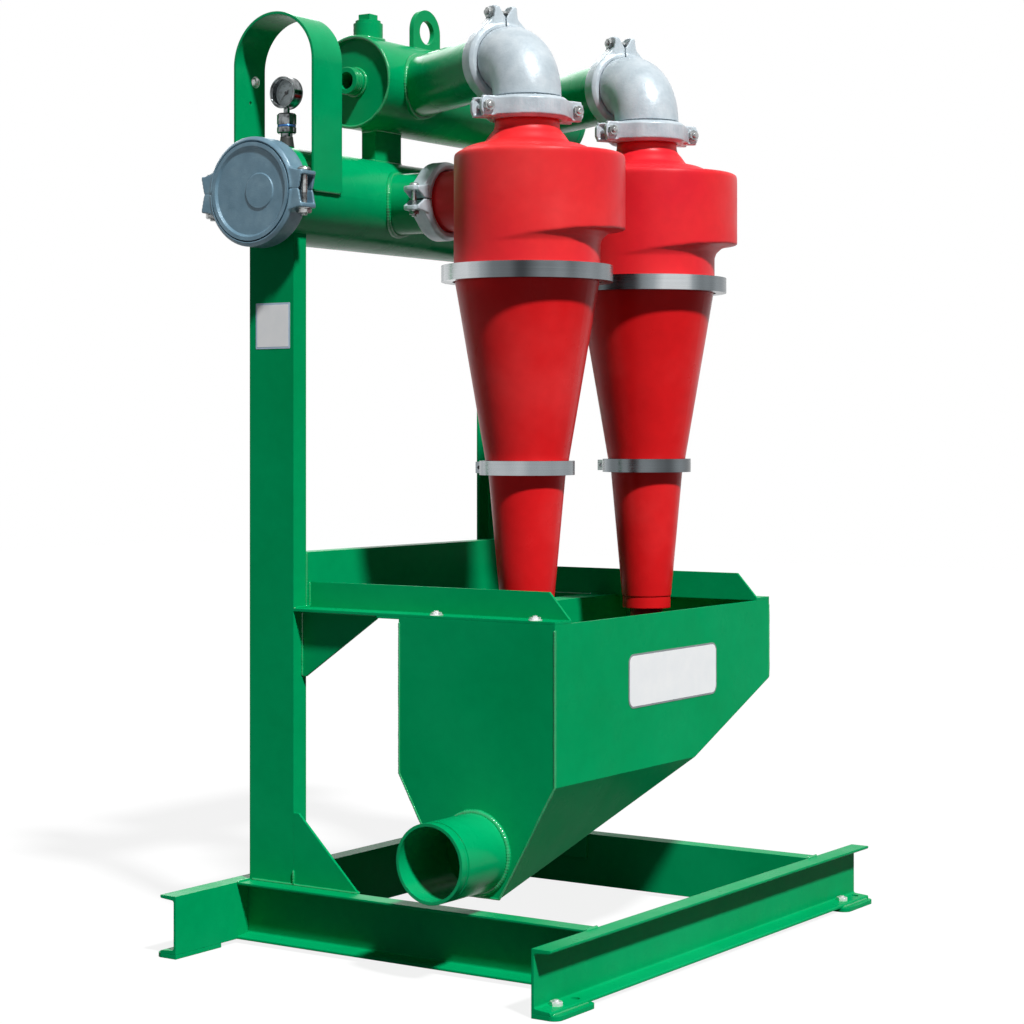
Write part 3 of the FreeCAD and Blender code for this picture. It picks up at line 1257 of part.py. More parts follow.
def check_document():
    """Stops if any object failed or any sub-part has no valid solid."""
    failed = [item.Name for item in DOC.Objects
              if "Invalid" in item.State or "Error" in item.State]
    if failed:
        raise RuntimeError("failed objects: " + ", ".join(failed))
    for item in NODES:
        if item.Shape.isNull() or not item.Shape.isValid() or not item.Shape.Solids:
            raise RuntimeError("bad shape: " + item.Label)


def write_parts():
    os.makedirs("parts", exist_ok=True)
    for item in NODES:
        item.Shape.exportStep("parts/%s.step" % item.Label)


def build():
    fill_sheet()
    rails()
    cross_channels()
    foot_pads()
    foot_bolts()
    columns()
    foot_gussets()
    arm_gussets()
    arms()
    hopper()
    outlet_pipe()
    hopper_bolts()
    feed_manifold()
    overflow_manifold()
    vent_plug()
    lifting_eye()
    posts()
    gauge_guard()
    gauge()
    gauge_pointer()
    gauge_seal()
    cyclones()
    elbows()
    couplings()
    end_cap()
    DOC.recompute()
    check_document()
    write_parts()
    for item in NODES:
        box_of = item.Shape.BoundBox
        print("%-24s solids %d  volume %.0f  z %.1f to %.1f" % (
            item.Label, len(item.Shape.Solids), item.Shape.Volume, box_of.ZMin, box_of.ZMax))


build()
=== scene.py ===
import json
import math

import bmesh
import bpy
from mathutils import Matrix, Vector, noise

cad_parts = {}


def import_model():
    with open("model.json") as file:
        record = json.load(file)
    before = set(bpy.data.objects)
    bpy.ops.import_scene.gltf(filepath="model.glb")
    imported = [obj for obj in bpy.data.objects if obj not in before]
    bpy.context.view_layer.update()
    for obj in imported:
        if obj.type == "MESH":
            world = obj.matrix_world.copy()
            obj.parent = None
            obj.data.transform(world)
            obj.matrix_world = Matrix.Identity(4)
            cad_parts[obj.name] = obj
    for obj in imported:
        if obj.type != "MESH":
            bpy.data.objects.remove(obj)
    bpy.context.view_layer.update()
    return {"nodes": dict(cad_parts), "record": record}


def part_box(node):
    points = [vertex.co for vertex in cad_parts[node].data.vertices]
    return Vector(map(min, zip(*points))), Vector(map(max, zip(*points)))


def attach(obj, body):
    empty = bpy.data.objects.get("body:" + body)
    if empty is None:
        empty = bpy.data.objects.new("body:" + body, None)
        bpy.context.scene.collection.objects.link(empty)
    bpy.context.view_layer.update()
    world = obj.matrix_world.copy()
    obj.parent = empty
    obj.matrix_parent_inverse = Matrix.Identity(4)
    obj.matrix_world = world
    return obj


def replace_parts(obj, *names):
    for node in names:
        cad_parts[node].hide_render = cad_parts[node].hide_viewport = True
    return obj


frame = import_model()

NODES = frame["nodes"]

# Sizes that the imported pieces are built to, in metres, and the angle of the upper branches
HEADER_R = 0.2191 / 2
BRANCH_R = 0.1413 / 2
OUTLET_R = 0.1683 / 2
BRANCH_ANGLE = math.radians(28)
INLET_OFFSET = 0.161
ELBOW_REACH = 0.118
JOINT_GAP = 0.002
OVERFLOW_FRONT = 0.545
DISC_RECESS = 0.009
BOSS_R = 0.031
BOSS_REACH = 0.036
VENT_FRONT = 0.058
VENT_R = 0.035
GAUGE_FRONT = 0.286
GAUGE_HALF = 0.015
POST_HALF = 0.02
OUTLET_Z = 0.2575
HOPPER_HALF = 0.201
HOPPER_FLOOR_HALF = 0.061
FOLD_DROP = 0.337
FLOOR_DROP = 0.582
REAR_DROP = 0.187
ARM_THICK = 0.00635
PAD_OVERHANG = 0.016


def middle_of(name):
    """Centre of a node's box."""
    low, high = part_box(name)
    return (low + high) / 2


# Places, from the frame and those sizes
CAP_LOW, CAP_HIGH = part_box("end_cap")
HEADER_X = (CAP_LOW.x + CAP_HIGH.x) / 2
FEED_Z = (CAP_LOW.z + CAP_HIGH.z) / 2
OVERFLOW_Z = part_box("overflow_manifold")[0].z + HEADER_R
CONES = {side: middle_of(side + "_apex") for side in ("front", "rear")}
CONE_X = CONES["front"].x
COLUMN_LOW, COLUMN_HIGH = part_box("front_column")
CROSS_LOW, CROSS_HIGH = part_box("front_cross_channel")
SKID_TOP = CROSS_HIGH.z
FRONT_WEB_Y = COLUMN_LOW.y
REAR_WEB_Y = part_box("rear_column")[1].y
ARM_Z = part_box("front_arm")[0].z
HOPPER_SEAT = ARM_Z + ARM_THICK
HOPPER_FRONT_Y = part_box("hopper")[0].y
FRONT_END_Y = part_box("left_rail")[0].y
HEADER_FRONT_Y = FRONT_END_Y + OVERFLOW_FRONT
DISC_FACE_Y = HEADER_FRONT_Y + DISC_RECESS
VENT_Y = HEADER_FRONT_Y + VENT_FRONT
GAUGE_Y = FRONT_END_Y + GAUGE_FRONT + GAUGE_HALF


# Materials

# Rays per soft edge, the radius of a cast edge in metres, and how much coarser pits are than grain
EDGE_SAMPLES = 4
CAST_EDGE = 0.0015
PIT_SHARE = 0.35


def tree_of(name):
    """New material: its nodes, its links and its Principled shader."""
    mat = bpy.data.materials.new(name)
    mat.use_nodes = True
    nodes = mat.node_tree.nodes
    return mat, nodes, mat.node_tree.links, nodes["Principled BSDF"]


def texture_place(nodes, links, scale=(1, 1, 1)):
    """Object coordinates, stretched by scale."""
    coords = nodes.new("ShaderNodeTexCoord")
    mapping = nodes.new("ShaderNodeMapping")
    mapping.inputs["Scale"].default_value = scale
    links.new(coords.outputs["Object"], mapping.inputs["Vector"])
    return mapping.outputs["Vector"]


def noise_map(nodes, links, place, scale, detail, rough=0.55):
    """Noise at a place: larger scale, finer spots."""
    tex = nodes.new("ShaderNodeTexNoise")
    tex.inputs["Scale"].default_value = scale
    tex.inputs["Detail"].default_value = detail
    tex.inputs["Roughness"].default_value = rough
    links.new(place, tex.inputs["Vector"])
    return tex.outputs["Fac"]


def ramp(nodes, links, value, *stops):
    """Colour ramp through (position, colour) stops."""
    node = nodes.new("ShaderNodeValToRGB")
    band = node.color_ramp
    while len(band.elements) < len(stops):
        band.elements.new(0.5)
    for element, (position, colour) in zip(band.elements, stops):
        element.position = position
        element.color = (*colour, 1)
    links.new(value, node.inputs["Fac"])
    return node.outputs["Color"]


def levels(nodes, links, value, *stops):
    """Grey ramp through (position, level) stops."""
    return ramp(nodes, links, value, *((position, (level, level, level)) for position, level in stops))


def multiplied(nodes, links, colour, shade, share):
    """Colour darkened by a shade, as far as the share says."""
    node = nodes.new("ShaderNodeMix")
    node.data_type = "RGBA"
    node.blend_type = "MULTIPLY"
    node.inputs[0].default_value = share
    links.new(colour, node.inputs[6])
    links.new(shade, node.inputs[7])
    return node.outputs[2]


def bump(nodes, links, height, strength, distance, below=None):
    """Normal shaped by a height, on top of the normal below."""
    node = nodes.new("ShaderNodeBump")
    node.inputs["Strength"].default_value = strength
    node.inputs["Distance"].default_value = distance
    links.new(height, node.inputs["Height"])
    if below is not None:
        links.new(below, node.inputs["Normal"])
    return node.outputs["Normal"]


def soft_edges(nodes, radius):
    """Normal that rounds each sharp edge by that radius."""
    node = nodes.new("ShaderNodeBevel")
    node.samples = EDGE_SAMPLES
    node.inputs["Radius"].default_value = radius
    return node.outputs["Normal"]


def enamel(name, body, deep, pale, roughness, specular, edge):
    """Sprayed gloss paint: soft drift of tone, orange peel, a few dull patches."""
    mat, nodes, links, shader = tree_of(name)
    place = texture_place(nodes, links)
    drift = noise_map(nodes, links, place, scale=2.6, detail=4.0)
    speck = noise_map(nodes, links, place, scale=38.0, detail=2.0)
    patches = noise_map(nodes, links, place, scale=9.0, detail=5.0)
    waves = noise_map(nodes, links, place, scale=26.0, detail=2.0)
    peel = noise_map(nodes, links, place, scale=420.0, detail=1.5)
    tone = ramp(nodes, links, drift, (0.3, deep), (0.52, body), (0.75, pale))
    fine = levels(nodes, links, speck, (0.35, 0.93), (0.65, 1.0))
    dull = levels(nodes, links, patches, (0.35, roughness - 0.05), (0.7, roughness + 0.09))
    wavy = bump(nodes, links, waves, strength=0.10, distance=0.004, below=soft_edges(nodes, edge))
    rough = bump(nodes, links, peel, strength=0.06, distance=0.0006, below=wavy)
    links.new(multiplied(nodes, links, tone, fine, share=0.6), shader.inputs["Base Color"])
    links.new(dull, shader.inputs["Roughness"])
    links.new(rough, shader.inputs["Normal"])
    shader.inputs["Specular IOR Level"].default_value = specular
    return mat


def cast_metal(name, dark, body, pale, metallic, roughness, grain):
    """Sand-cast metal: blotches, pits and a pebbled skin."""
    mat, nodes, links, shader = tree_of(name)
    place = texture_place(nodes, links)
    blotch = noise_map(nodes, links, place, scale=22.0, detail=6.0, rough=0.62)
    patches = noise_map(nodes, links, place, scale=60.0, detail=4.0)
    pebbles = noise_map(nodes, links, place, scale=grain, detail=3.0)
    pits = nodes.new("ShaderNodeTexVoronoi")
    pits.inputs["Scale"].default_value = grain * PIT_SHARE
    links.new(place, pits.inputs["Vector"])
    tone = ramp(nodes, links, blotch, (0.28, dark), (0.5, body), (0.72, pale))
    dull = levels(nodes, links, patches, (0.3, roughness - 0.08), (0.7, roughness + 0.1))
    depth = levels(nodes, links, pits.outputs["Distance"], (0.04, 0.0), (0.22, 1.0))
    pebbled = bump(nodes, links, pebbles, strength=0.35, distance=0.0012, below=soft_edges(nodes, CAST_EDGE))
    pitted = bump(nodes, links, depth, strength=0.18, distance=0.0008, below=pebbled)
    links.new(tone, shader.inputs["Base Color"])
    links.new(dull, shader.inputs["Roughness"])
    links.new(pitted, shader.inputs["Normal"])
    shader.inputs["Metallic"].default_value = metallic
    return mat


def brushed_steel(name, stretch):
    """Turned stainless band: lines along its run, and painted reflection round it as broad light and dark
    bands in the base colour.
    """
    mat, nodes, links, shader = tree_of(name)
    along = texture_place(nodes, links, scale=stretch)
    wide = texture_place(nodes, links, scale=(6, 6, 0.5))
    lines = noise_map(nodes, links, along, scale=1.0, detail=4.0, rough=0.7)
    painted_reflection_noise = noise_map(nodes, links, wide, scale=1.0, detail=2.0)
    # Painted reflection: bands from near black to pale grey round the ring stand in for the streaks that
    # brushed steel reflects.
    base = ramp(nodes, links, painted_reflection_noise, (0.36, (0.05, 0.055, 0.06)), (0.48, (0.20, 0.225, 0.24)),
                (0.58, (0.31, 0.345, 0.365)), (0.66, (0.60, 0.63, 0.65)))
    streak = levels(nodes, links, lines, (0.3, 0.75), (0.7, 1.0))
    links.new(multiplied(nodes, links, base, streak, share=0.7), shader.inputs["Base Color"])
    links.new(levels(nodes, links, lines, (0.3, 0.18), (0.7, 0.34)), shader.inputs["Roughness"])
    links.new(bump(nodes, links, lines, strength=0.12, distance=0.0004), shader.inputs["Normal"])
    shader.inputs["Metallic"].default_value = 1.0
    return mat


def plated(name, tarnish, tint, roughness, metallic):
    """Zinc or chrome plating with faint tarnish."""
    mat, nodes, links, shader = tree_of(name)
    place = texture_place(nodes, links)
    cloud = noise_map(nodes, links, place, scale=85.0, detail=4.0)
    grain = noise_map(nodes, links, place, scale=600.0, detail=2.0)
    dull = levels(nodes, links, cloud, (0.3, roughness + 0.12), (0.65, roughness))
    links.new(ramp(nodes, links, cloud, (0.32, tarnish), (0.62, tint)), shader.inputs["Base Color"])
    links.new(dull, shader.inputs["Roughness"])
    links.new(bump(nodes, links, grain, strength=0.05, distance=0.0003), shader.inputs["Normal"])
    shader.inputs["Metallic"].default_value = metallic
    return mat


def dull_skin(name, dark, pale, roughness, grain):
    """Rubber, polymer or matt paint."""
    mat, nodes, links, shader = tree_of(name)
    place = texture_place(nodes, links)
    cloud = noise_map(nodes, links, place, scale=30.0, detail=4.0)
    patches = noise_map(nodes, links, place, scale=12.0, detail=3.0)
    fine = noise_map(nodes, links, place, scale=grain, detail=2.0)
    dull = levels(nodes, links, patches, (0.3, roughness - 0.06), (0.7, roughness + 0.06))
    links.new(ramp(nodes, links, cloud, (0.3, dark), (0.7, pale)), shader.inputs["Base Color"])
    links.new(dull, shader.inputs["Roughness"])
    links.new(bump(nodes, links, fine, strength=0.1, distance=0.0004), shader.inputs["Normal"])
    return mat


def window_glass():
    """Clear gauge window, faintly smeared."""
    mat, nodes, links, shader = tree_of("window_glass")
    smear = noise_map(nodes, links, texture_place(nodes, links), scale=40.0, detail=3.0)
    tone = ramp(nodes, links, smear, (0.3, (0.93, 0.96, 0.96)), (0.75, (0.97, 0.98, 0.98)))
    links.new(tone, shader.inputs["Base Color"])
    links.new(levels(nodes, links, smear, (0.3, 0.015), (0.75, 0.06)), shader.inputs["Roughness"])
    shader.inputs["Transmission Weight"].default_value = 1.0
    shader.inputs["IOR"].default_value = 1.1
    return mat


GREEN = enamel("green_enamel", body=(0.0, 0.352, 0.117), deep=(0.0, 0.318, 0.100),
               pale=(0.003, 0.386, 0.136), roughness=0.30, specular=0.014, edge=0.002)
PIPE = enamel("green_pipe", body=(0.0, 0.36, 0.125), deep=(0.0, 0.325, 0.108),
              pale=(0.006, 0.40, 0.15), roughness=0.24, specular=0.065, edge=0.002)
WELD = enamel("green_weld", body=(0.0, 0.34, 0.11), deep=(0.0, 0.30, 0.095),
              pale=(0.01, 0.40, 0.15), roughness=0.16, specular=0.5, edge=0.001)
RED = enamel("red_polyurethane", body=(0.78, 0.012, 0.015), deep=(0.66, 0.007, 0.010),
             pale=(0.90, 0.040, 0.042), roughness=0.32, specular=0.09, edge=0.003)
# The heads: a lighter, pinker copy of the cones' red, partly a pale fade and partly painted sheen for the
# sun's broad highlight on them.
HEAD_RED_FADE_AND_PAINTED_SHEEN = enamel("red_head_fade_and_painted_sheen", body=(0.86, 0.026, 0.030), deep=(0.78, 0.012, 0.026),
                  pale=(0.95, 0.060, 0.060), roughness=0.42, specular=0.26, edge=0.003)
ZINC = cast_metal("galvanised_iron", dark=(0.39, 0.47, 0.52), body=(0.51, 0.59, 0.64),
                  pale=(0.62, 0.69, 0.73), metallic=0.12, roughness=0.36, grain=190.0)
# The end cap's housing: the elbows' galvanised iron with a darker blue-grey base colour, which is painted
# shade for its shaded front.
CAP_ZINC_PAINTED_SHADE = cast_metal("cap_paint", dark=(0.10, 0.20, 0.27), body=(0.135, 0.25, 0.33),
                       pale=(0.19, 0.32, 0.40), metallic=0.10, roughness=0.36, grain=260.0)
RING = brushed_steel("clamp_steel", stretch=(3, 3, 700))
BOLT = plated("zinc_plate", (0.17, 0.18, 0.18), (0.48, 0.50, 0.50), roughness=0.22, metallic=0.75)
BRIGHT = plated("bright_zinc", (0.62, 0.63, 0.63), (0.86, 0.87, 0.87), roughness=0.20, metallic=0.5)
CHROME = plated("dark_chrome", (0.012, 0.014, 0.016), (0.26, 0.28, 0.29), roughness=0.07, metallic=0.95)
BLUE_BAND = plated("blue_anodised", (0.03, 0.10, 0.30), (0.05, 0.16, 0.42), roughness=0.25, metallic=0.6)
RUBBER = dull_skin("gasket_rubber", (0.012, 0.012, 0.012), (0.03, 0.03, 0.03), roughness=0.6, grain=300.0)
LINER = dull_skin("liner_polymer", (0.02, 0.02, 0.02), (0.045, 0.045, 0.045), roughness=0.5, grain=240.0)
DIAL = dull_skin("dial_print", (0.19, 0.22, 0.23), (0.24, 0.27, 0.28), roughness=0.45, grain=500.0)
INK = dull_skin("black_ink", (0.012, 0.012, 0.014), (0.03, 0.03, 0.034), roughness=0.5, grain=500.0)
PLATE_WHITE = dull_skin("white_plate", (0.88, 0.90, 0.92), (0.93, 0.94, 0.95), roughness=0.35, grain=400.0)
PLATE_BLUE = dull_skin("pale_blue_print", (0.42, 0.55, 0.70), (0.48, 0.61, 0.75), roughness=0.4, grain=400.0)
GLASS = window_glass()
SLOT_LOOKS = {"green_enamel": GREEN, "red_enamel": RED, "galvanised_iron": ZINC, "cap_paint": CAP_ZINC_PAINTED_SHADE,
              "clamp_steel": RING, "zinc_bolts": BOLT, "gasket_rubber": RUBBER,
              "liner_polymer": LINER, "gauge_steel": CHROME, "gauge_window": GLASS,
              "dial_face": DIAL, "pointer": INK}
GLOSSY = ("feed_manifold", "overflow_manifold", "outlet_pipe", "vent_plug", "lifting_eye", "gauge_guard")


def dress_nodes():
    """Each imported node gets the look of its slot, and the glossy ones the pipes' paint."""
    slots = {row["node"]: row["material_slot"] for row in frame["record"]["subparts"]}
    for name, node in NODES.items():
        look = PIPE if name in GLOSSY else SLOT_LOOKS[slots[name]]
        node.data.materials.clear()
        node.data.materials.append(look)


# Mesh helpers

CIRCLE_SIDES = 72
JOINT_SIDES = 96
SADDLE_SIDES = 64


def piece_from(name, bm, look, smooth=True):
    """Object of the unit, made from a mesh under construction."""
    mesh = bpy.data.meshes.new(name)
    bmesh.ops.recalc_face_normals(bm, faces=bm.faces)
    bm.to_mesh(mesh)
    bm.free()
    mesh.materials.append(look)
    for face in mesh.polygons:
        face.use_smooth = smooth
    obj = bpy.data.objects.new(name, mesh)
    bpy.context.scene.collection.objects.link(obj)
    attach(obj, "unit")
    return obj


def turns(count):
    """Angles of evenly spaced points round a circle."""
    return [2 * math.pi * step / count for step in range(count)]


def skin(bm, rings, closed_run=False):
    """Faces between rings of points that all have the same count, with end faces on an open run."""
    rows = [[bm.verts.new(point) for point in ring] for ring in rings]
    count = len(rows)
    last = count if closed_run else count - 1
    for index in range(last):
        low = rows[index]
        high = rows[(index + 1) % count]
        for step in range(len(low)):
            after = (step + 1) % len(low)
            bm.faces.new((low[step], low[after], high[after], high[step]))
    if not closed_run:
        bm.faces.new(list(reversed(rows[0])))
        bm.faces.new(rows[-1])


def resampled(path, pitch, closed):
    """Points spaced evenly along a line of points."""
    points = [Vector(point) for point in path]
    if closed:
        points.append(points[0])
    lengths = [0.0]
    for start, stop in zip(points, points[1:]):
        lengths.append(lengths[-1] + (stop - start).length)
    count = max(3, round(lengths[-1] / pitch))
    result = []
    leg = 0
    for index in range(count if closed else count + 1):
        want = lengths[-1] * index / count
        while leg < len(lengths) - 2 and lengths[leg + 1] < want:
            leg += 1
        span = lengths[leg + 1] - lengths[leg]
        share = (want - lengths[leg]) / span if span else 0.0
        result.append(points[leg].lerp(points[leg + 1], share))
    return result


def circle(centre, radius, count=CIRCLE_SIDES):
    """Points of a circle that faces along Y."""
    axis = Vector((0, 1, 0))
    one = axis.orthogonal().normalized()
    two = axis.cross(one)
    return [Vector(centre) + (one * math.cos(turn) + two * math.sin(turn)) * radius for turn in turns(count)]


def branch_joint(origin, direction):
    """Line where a level branch meets a header along Y."""
    along = Vector(direction).normalized()
    across = Vector((-along.y, along.x, 0))
    points = []
    for turn in turns(JOINT_SIDES):
        rise = BRANCH_R * math.sin(turn)
        side = BRANCH_R * math.cos(turn)
        run = (math.sqrt(HEADER_R ** 2 - rise ** 2) - side * across.x) / along.x
        points.append(Vector(origin) + along * run + across * side + Vector((0, 0, rise)))
    return points


def saddle(centre, radius):
    """Line where an upright round boss meets the top of a header along Y."""
    points = []
    for turn in turns(SADDLE_SIDES):
        x = radius * math.cos(turn)
        z = math.sqrt(HEADER_R ** 2 - x ** 2)
        points.append(Vector(centre) + Vector((x, radius * math.sin(turn), z)))
    return points


def along_x(y, z, start, stop):
    """Straight path along X."""
    return [(start, y, z), (stop, y, z)]


def along_y(x, z, start, stop):
    """Straight path along Y."""
    return [(x, start, z), (x, stop, z)]


def along_z(x, y, start, stop):
    """Straight path along Z."""
    return [(x, y, start), (x, y, stop)]


# Welds

# Form of a bead: sides, shares of its radius, how fine its unevenness is, and lengths in metres
BEAD_SIDES = 8
BEAD_SWELL = 0.20
BEAD_UNEVEN = 0.22
BEAD_END = 0.35
UNEVEN_SCALE = 60
BEAD_STEP = 0.0021
BEAD_RIPPLE = 0.0063

# Radii of the beads, and how far their centres lie off the faces
BRANCH_BEAD = 0.0068
OUTLET_BEAD = 0.0062
BEAD = 0.0042
BOSS_BEAD = 0.004
RIM_BEAD = 0.0038
FRAME_BEAD = 0.0035
SMALL_BEAD = 0.003
NIPPLE_BEAD = 0.0028
SEAM_BEAD = 0.0026
LIFT = 0.001


def add_bead(bm, path, radius, seed, closed=False):
    """Weld bead along a path: overlapping ripples, a little uneven."""
    points = resampled(path, BEAD_STEP, closed)
    count = len(points)
    shift = Vector((seed, 0, 0))
    rings = []
    normal = None
    for index, point in enumerate(points):
        before = points[index - 1] if index or closed else point
        after = points[(index + 1) % count] if index < count - 1 or closed else point
        along = (after - before).normalized()
        if normal is None:
            normal = along.orthogonal()
        normal = (normal - along * normal.dot(along)).normalized()
        other = along.cross(normal)
        phase = (index * BEAD_STEP / BEAD_RIPPLE) % 1.0
        uneven = noise.noise(point * UNEVEN_SCALE + shift)
        swell = 1.0 + BEAD_SWELL * math.sin(math.pi * phase) + BEAD_UNEVEN * uneven
        taper = 1.0
        if not closed:
            edge = min(index, count - 1 - index) / 2.0
            taper = min(1.0, BEAD_END + (1 - BEAD_END) * edge)
        rings.append([point + (normal * math.cos(turn) + other * math.sin(turn)) * radius * swell * taper
                      for turn in turns(BEAD_SIDES)])
    skin(bm, rings, closed)


# Points of the finer lines, and places of beads on the manifolds, in metres
ARC_STEPS = 12
RIM_SIDES = 140
OUTLET_SIDES = 120
RIM_INSET = 0.004
NIPPLE_SEAT_R = 0.0145
GUARD_SIDE_INSET = 0.003
GUARD_END_INSET = 0.004


def post_beads(bm, label):
    """Beads where a post meets the two headers: along its flanges and its web."""
    low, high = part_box(label)
    foot_rise = math.sqrt(HEADER_R ** 2 - POST_HALF ** 2)
    for base, sign in ((FEED_Z, 1), (OVERFLOW_Z, -1)):
        for y in (low.y - LIFT, high.y + LIFT):
            arc = []
            for step in range(ARC_STEPS + 1):
                x = -POST_HALF + 2 * POST_HALF * step / ARC_STEPS
                arc.append((HEADER_X + x, y, base + sign * math.sqrt((HEADER_R + LIFT) ** 2 - x * x)))
            add_bead(bm, arc, SMALL_BEAD, y)
        web = along_y(HEADER_X + POST_HALF + LIFT, base + sign * foot_rise, low.y, high.y)
        add_bead(bm, web, SMALL_BEAD, base)


def manifold_welds():
    """Beads round the branches, the posts, the end plate, the bosses, the eye and the guard."""
    bm = bmesh.new()
    bend = (CONE_X - HEADER_X) * math.tan(BRANCH_ANGLE)
    slant = (math.cos(BRANCH_ANGLE), -math.sin(BRANCH_ANGLE), 0)
    for side, cone in CONES.items():
        stub = (HEADER_X, cone.y + INLET_OFFSET, FEED_Z)
        add_bead(bm, branch_joint(stub, (1, 0, 0)), BRANCH_BEAD, 1.0, closed=True)
        start = (HEADER_X, cone.y + bend, OVERFLOW_Z)
        add_bead(bm, branch_joint(start, slant), BRANCH_BEAD, 2.0, closed=True)
        post_beads(bm, side + "_post")
    boss = circle((HEADER_X, DISC_FACE_Y - LIFT, OVERFLOW_Z), BOSS_R + LIFT)
    add_bead(bm, boss, BOSS_BEAD, 3.0, closed=True)
    rim = circle((HEADER_X, HEADER_FRONT_Y + LIFT, OVERFLOW_Z), HEADER_R - RIM_INSET, RIM_SIDES)
    add_bead(bm, rim, RIM_BEAD, 4.0, closed=True)
    add_bead(bm, saddle((HEADER_X, VENT_Y, OVERFLOW_Z), VENT_R + LIFT), BEAD, 5.0, closed=True)
    add_bead(bm, saddle((HEADER_X, GAUGE_Y, FEED_Z), NIPPLE_SEAT_R), NIPPLE_BEAD, 6.0, closed=True)
    low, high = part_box("lifting_eye")
    for x in (low.x - LIFT, high.x + LIFT):
        z = OVERFLOW_Z + math.sqrt(HEADER_R ** 2 - (x - HEADER_X) ** 2)
        add_bead(bm, along_y(x, z, low.y, high.y), BEAD, x)
    low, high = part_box("gauge_guard")
    for x in (low.x + GUARD_SIDE_INSET, high.x - GUARD_SIDE_INSET):
        edge = along_y(x, low.z - LIFT, low.y + GUARD_END_INSET, high.y - GUARD_END_INSET)
        add_bead(bm, edge, SMALL_BEAD, x)
    piece_from("manifold_welds", bm, WELD)


def both_ends(bm, path, radius, seed):
    """The same bead at the front end of the frame and mirrored at the rear end."""
    middle = (FRONT_WEB_Y + REAR_WEB_Y) / 2
    add_bead(bm, path, radius, seed)
    add_bead(bm, [(x, 2 * middle - y, z) for x, y, z in path], radius, seed + 0.5)


# Ends of the beads on the frame and the hopper, in metres from the edges of the pieces they join
COLUMN_TOE = 0.006
COLUMN_HEEL = 0.004
FLANGE_FROM = 0.002
FLANGE_TO = 0.044
CORNER_RISE = 0.034
ARM_INSET = 0.007
ARM_RISE = 0.008
WEB_FROM = 0.01
WEB_TO = 0.118
PAD_INSET = 0.01
RIM_DROP = 0.01


def frame_welds():
    """Beads at the feet of the columns, on the gussets, the arms, the tie and the cross channels."""
    bm = bmesh.new()
    web = FRONT_WEB_Y
    side = COLUMN_HIGH.x
    top = SKID_TOP
    both_ends(bm, along_x(web, top + LIFT, COLUMN_LOW.x + COLUMN_TOE, side + COLUMN_HEEL), FRAME_BEAD, 1.0)
    both_ends(bm, along_y(side + LIFT, top, web + FLANGE_FROM, web + FLANGE_TO), FRAME_BEAD, 2.0)
    both_ends(bm, along_z(side + LIFT, web - LIFT, top, top + CORNER_RISE), SMALL_BEAD, 3.0)
    low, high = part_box("front_foot_gusset")
    both_ends(bm, along_z(low.x + LIFT, high.y + LIFT, top, high.z), SMALL_BEAD, 4.0)
    both_ends(bm, along_x(low.y - LIFT, top + LIFT, low.x, high.x), SMALL_BEAD, 5.0)
    both_ends(bm, along_x(high.y + LIFT, top + LIFT, low.x, high.x), SMALL_BEAD, 6.0)
    low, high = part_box("front_arm_gusset")
    for y in (low.y - LIFT, high.y + LIFT):
        both_ends(bm, along_z(low.x + LIFT, y, low.z, high.z), SMALL_BEAD, 7.0)
        both_ends(bm, along_x(y, high.z - LIFT, low.x, high.x), SMALL_BEAD, 8.0)
    low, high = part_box("front_arm")
    x = low.x + LIFT
    both_ends(bm, [(x, low.y, low.z + ARM_INSET), (x, high.y - ARM_INSET, low.z + ARM_RISE),
                   (x, high.y - ARM_INSET, high.z)], SMALL_BEAD, 9.0)
    low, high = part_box("column_tie")
    for x in (low.x, high.x):
        both_ends(bm, along_z(x, low.y + LIFT, low.z, high.z), SMALL_BEAD, 10.0 + x)
    for x in (CROSS_LOW.x, CROSS_HIGH.x):
        inner = x - LIFT if x > 0 else x + LIFT
        both_ends(bm, along_y(inner, top, CROSS_LOW.y, CROSS_HIGH.y), FRAME_BEAD, 12.0 + x)
        both_ends(bm, along_z(inner, web + LIFT, top - WEB_FROM, top - WEB_TO), SMALL_BEAD, 13.0 + x)
    for label in ("front_left_foot", "front_right_foot", "rear_left_foot", "rear_right_foot"):
        low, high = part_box(label)
        edge = high.x if low.x > 0 else low.x
        flange = edge - PAD_OVERHANG if low.x > 0 else edge + PAD_OVERHANG
        add_bead(bm, along_y(flange, high.z, low.y + PAD_INSET, high.y - PAD_INSET), SMALL_BEAD, edge + low.y)
    piece_from("frame_welds", bm, WELD)


def hopper_welds():
    """Beads round the outlet pipe and down the seams of the hopper's ends."""
    bm = bmesh.new()
    right = CONE_X + HOPPER_HALF - LIFT
    left = CONE_X - HOPPER_HALF + LIFT
    rim = ARM_Z - RIM_DROP
    fold = ARM_Z - FOLD_DROP
    floor_z = ARM_Z - FLOOR_DROP + LIFT
    ring = circle((CONE_X, HOPPER_FRONT_Y - LIFT, OUTLET_Z), OUTLET_R + LIFT, OUTLET_SIDES)
    add_bead(bm, ring, OUTLET_BEAD, 1.0, closed=True)
    seam = ((right, rim), (right, fold), (CONE_X + HOPPER_FLOOR_HALF, floor_z),
            (CONE_X - HOPPER_FLOOR_HALF, floor_z), (left, fold), (left, rim))
    add_bead(bm, [(x, HOPPER_FRONT_Y + LIFT, z) for x, z in seam], SEAM_BEAD, 2.0)
    for x in (right, left):
        add_bead(bm, along_z(x, REAR_WEB_Y - LIFT, rim, ARM_Z - REAR_DROP), SEAM_BEAD, x)
    piece_from("hopper_welds", bm, WELD)


# Cast pieces

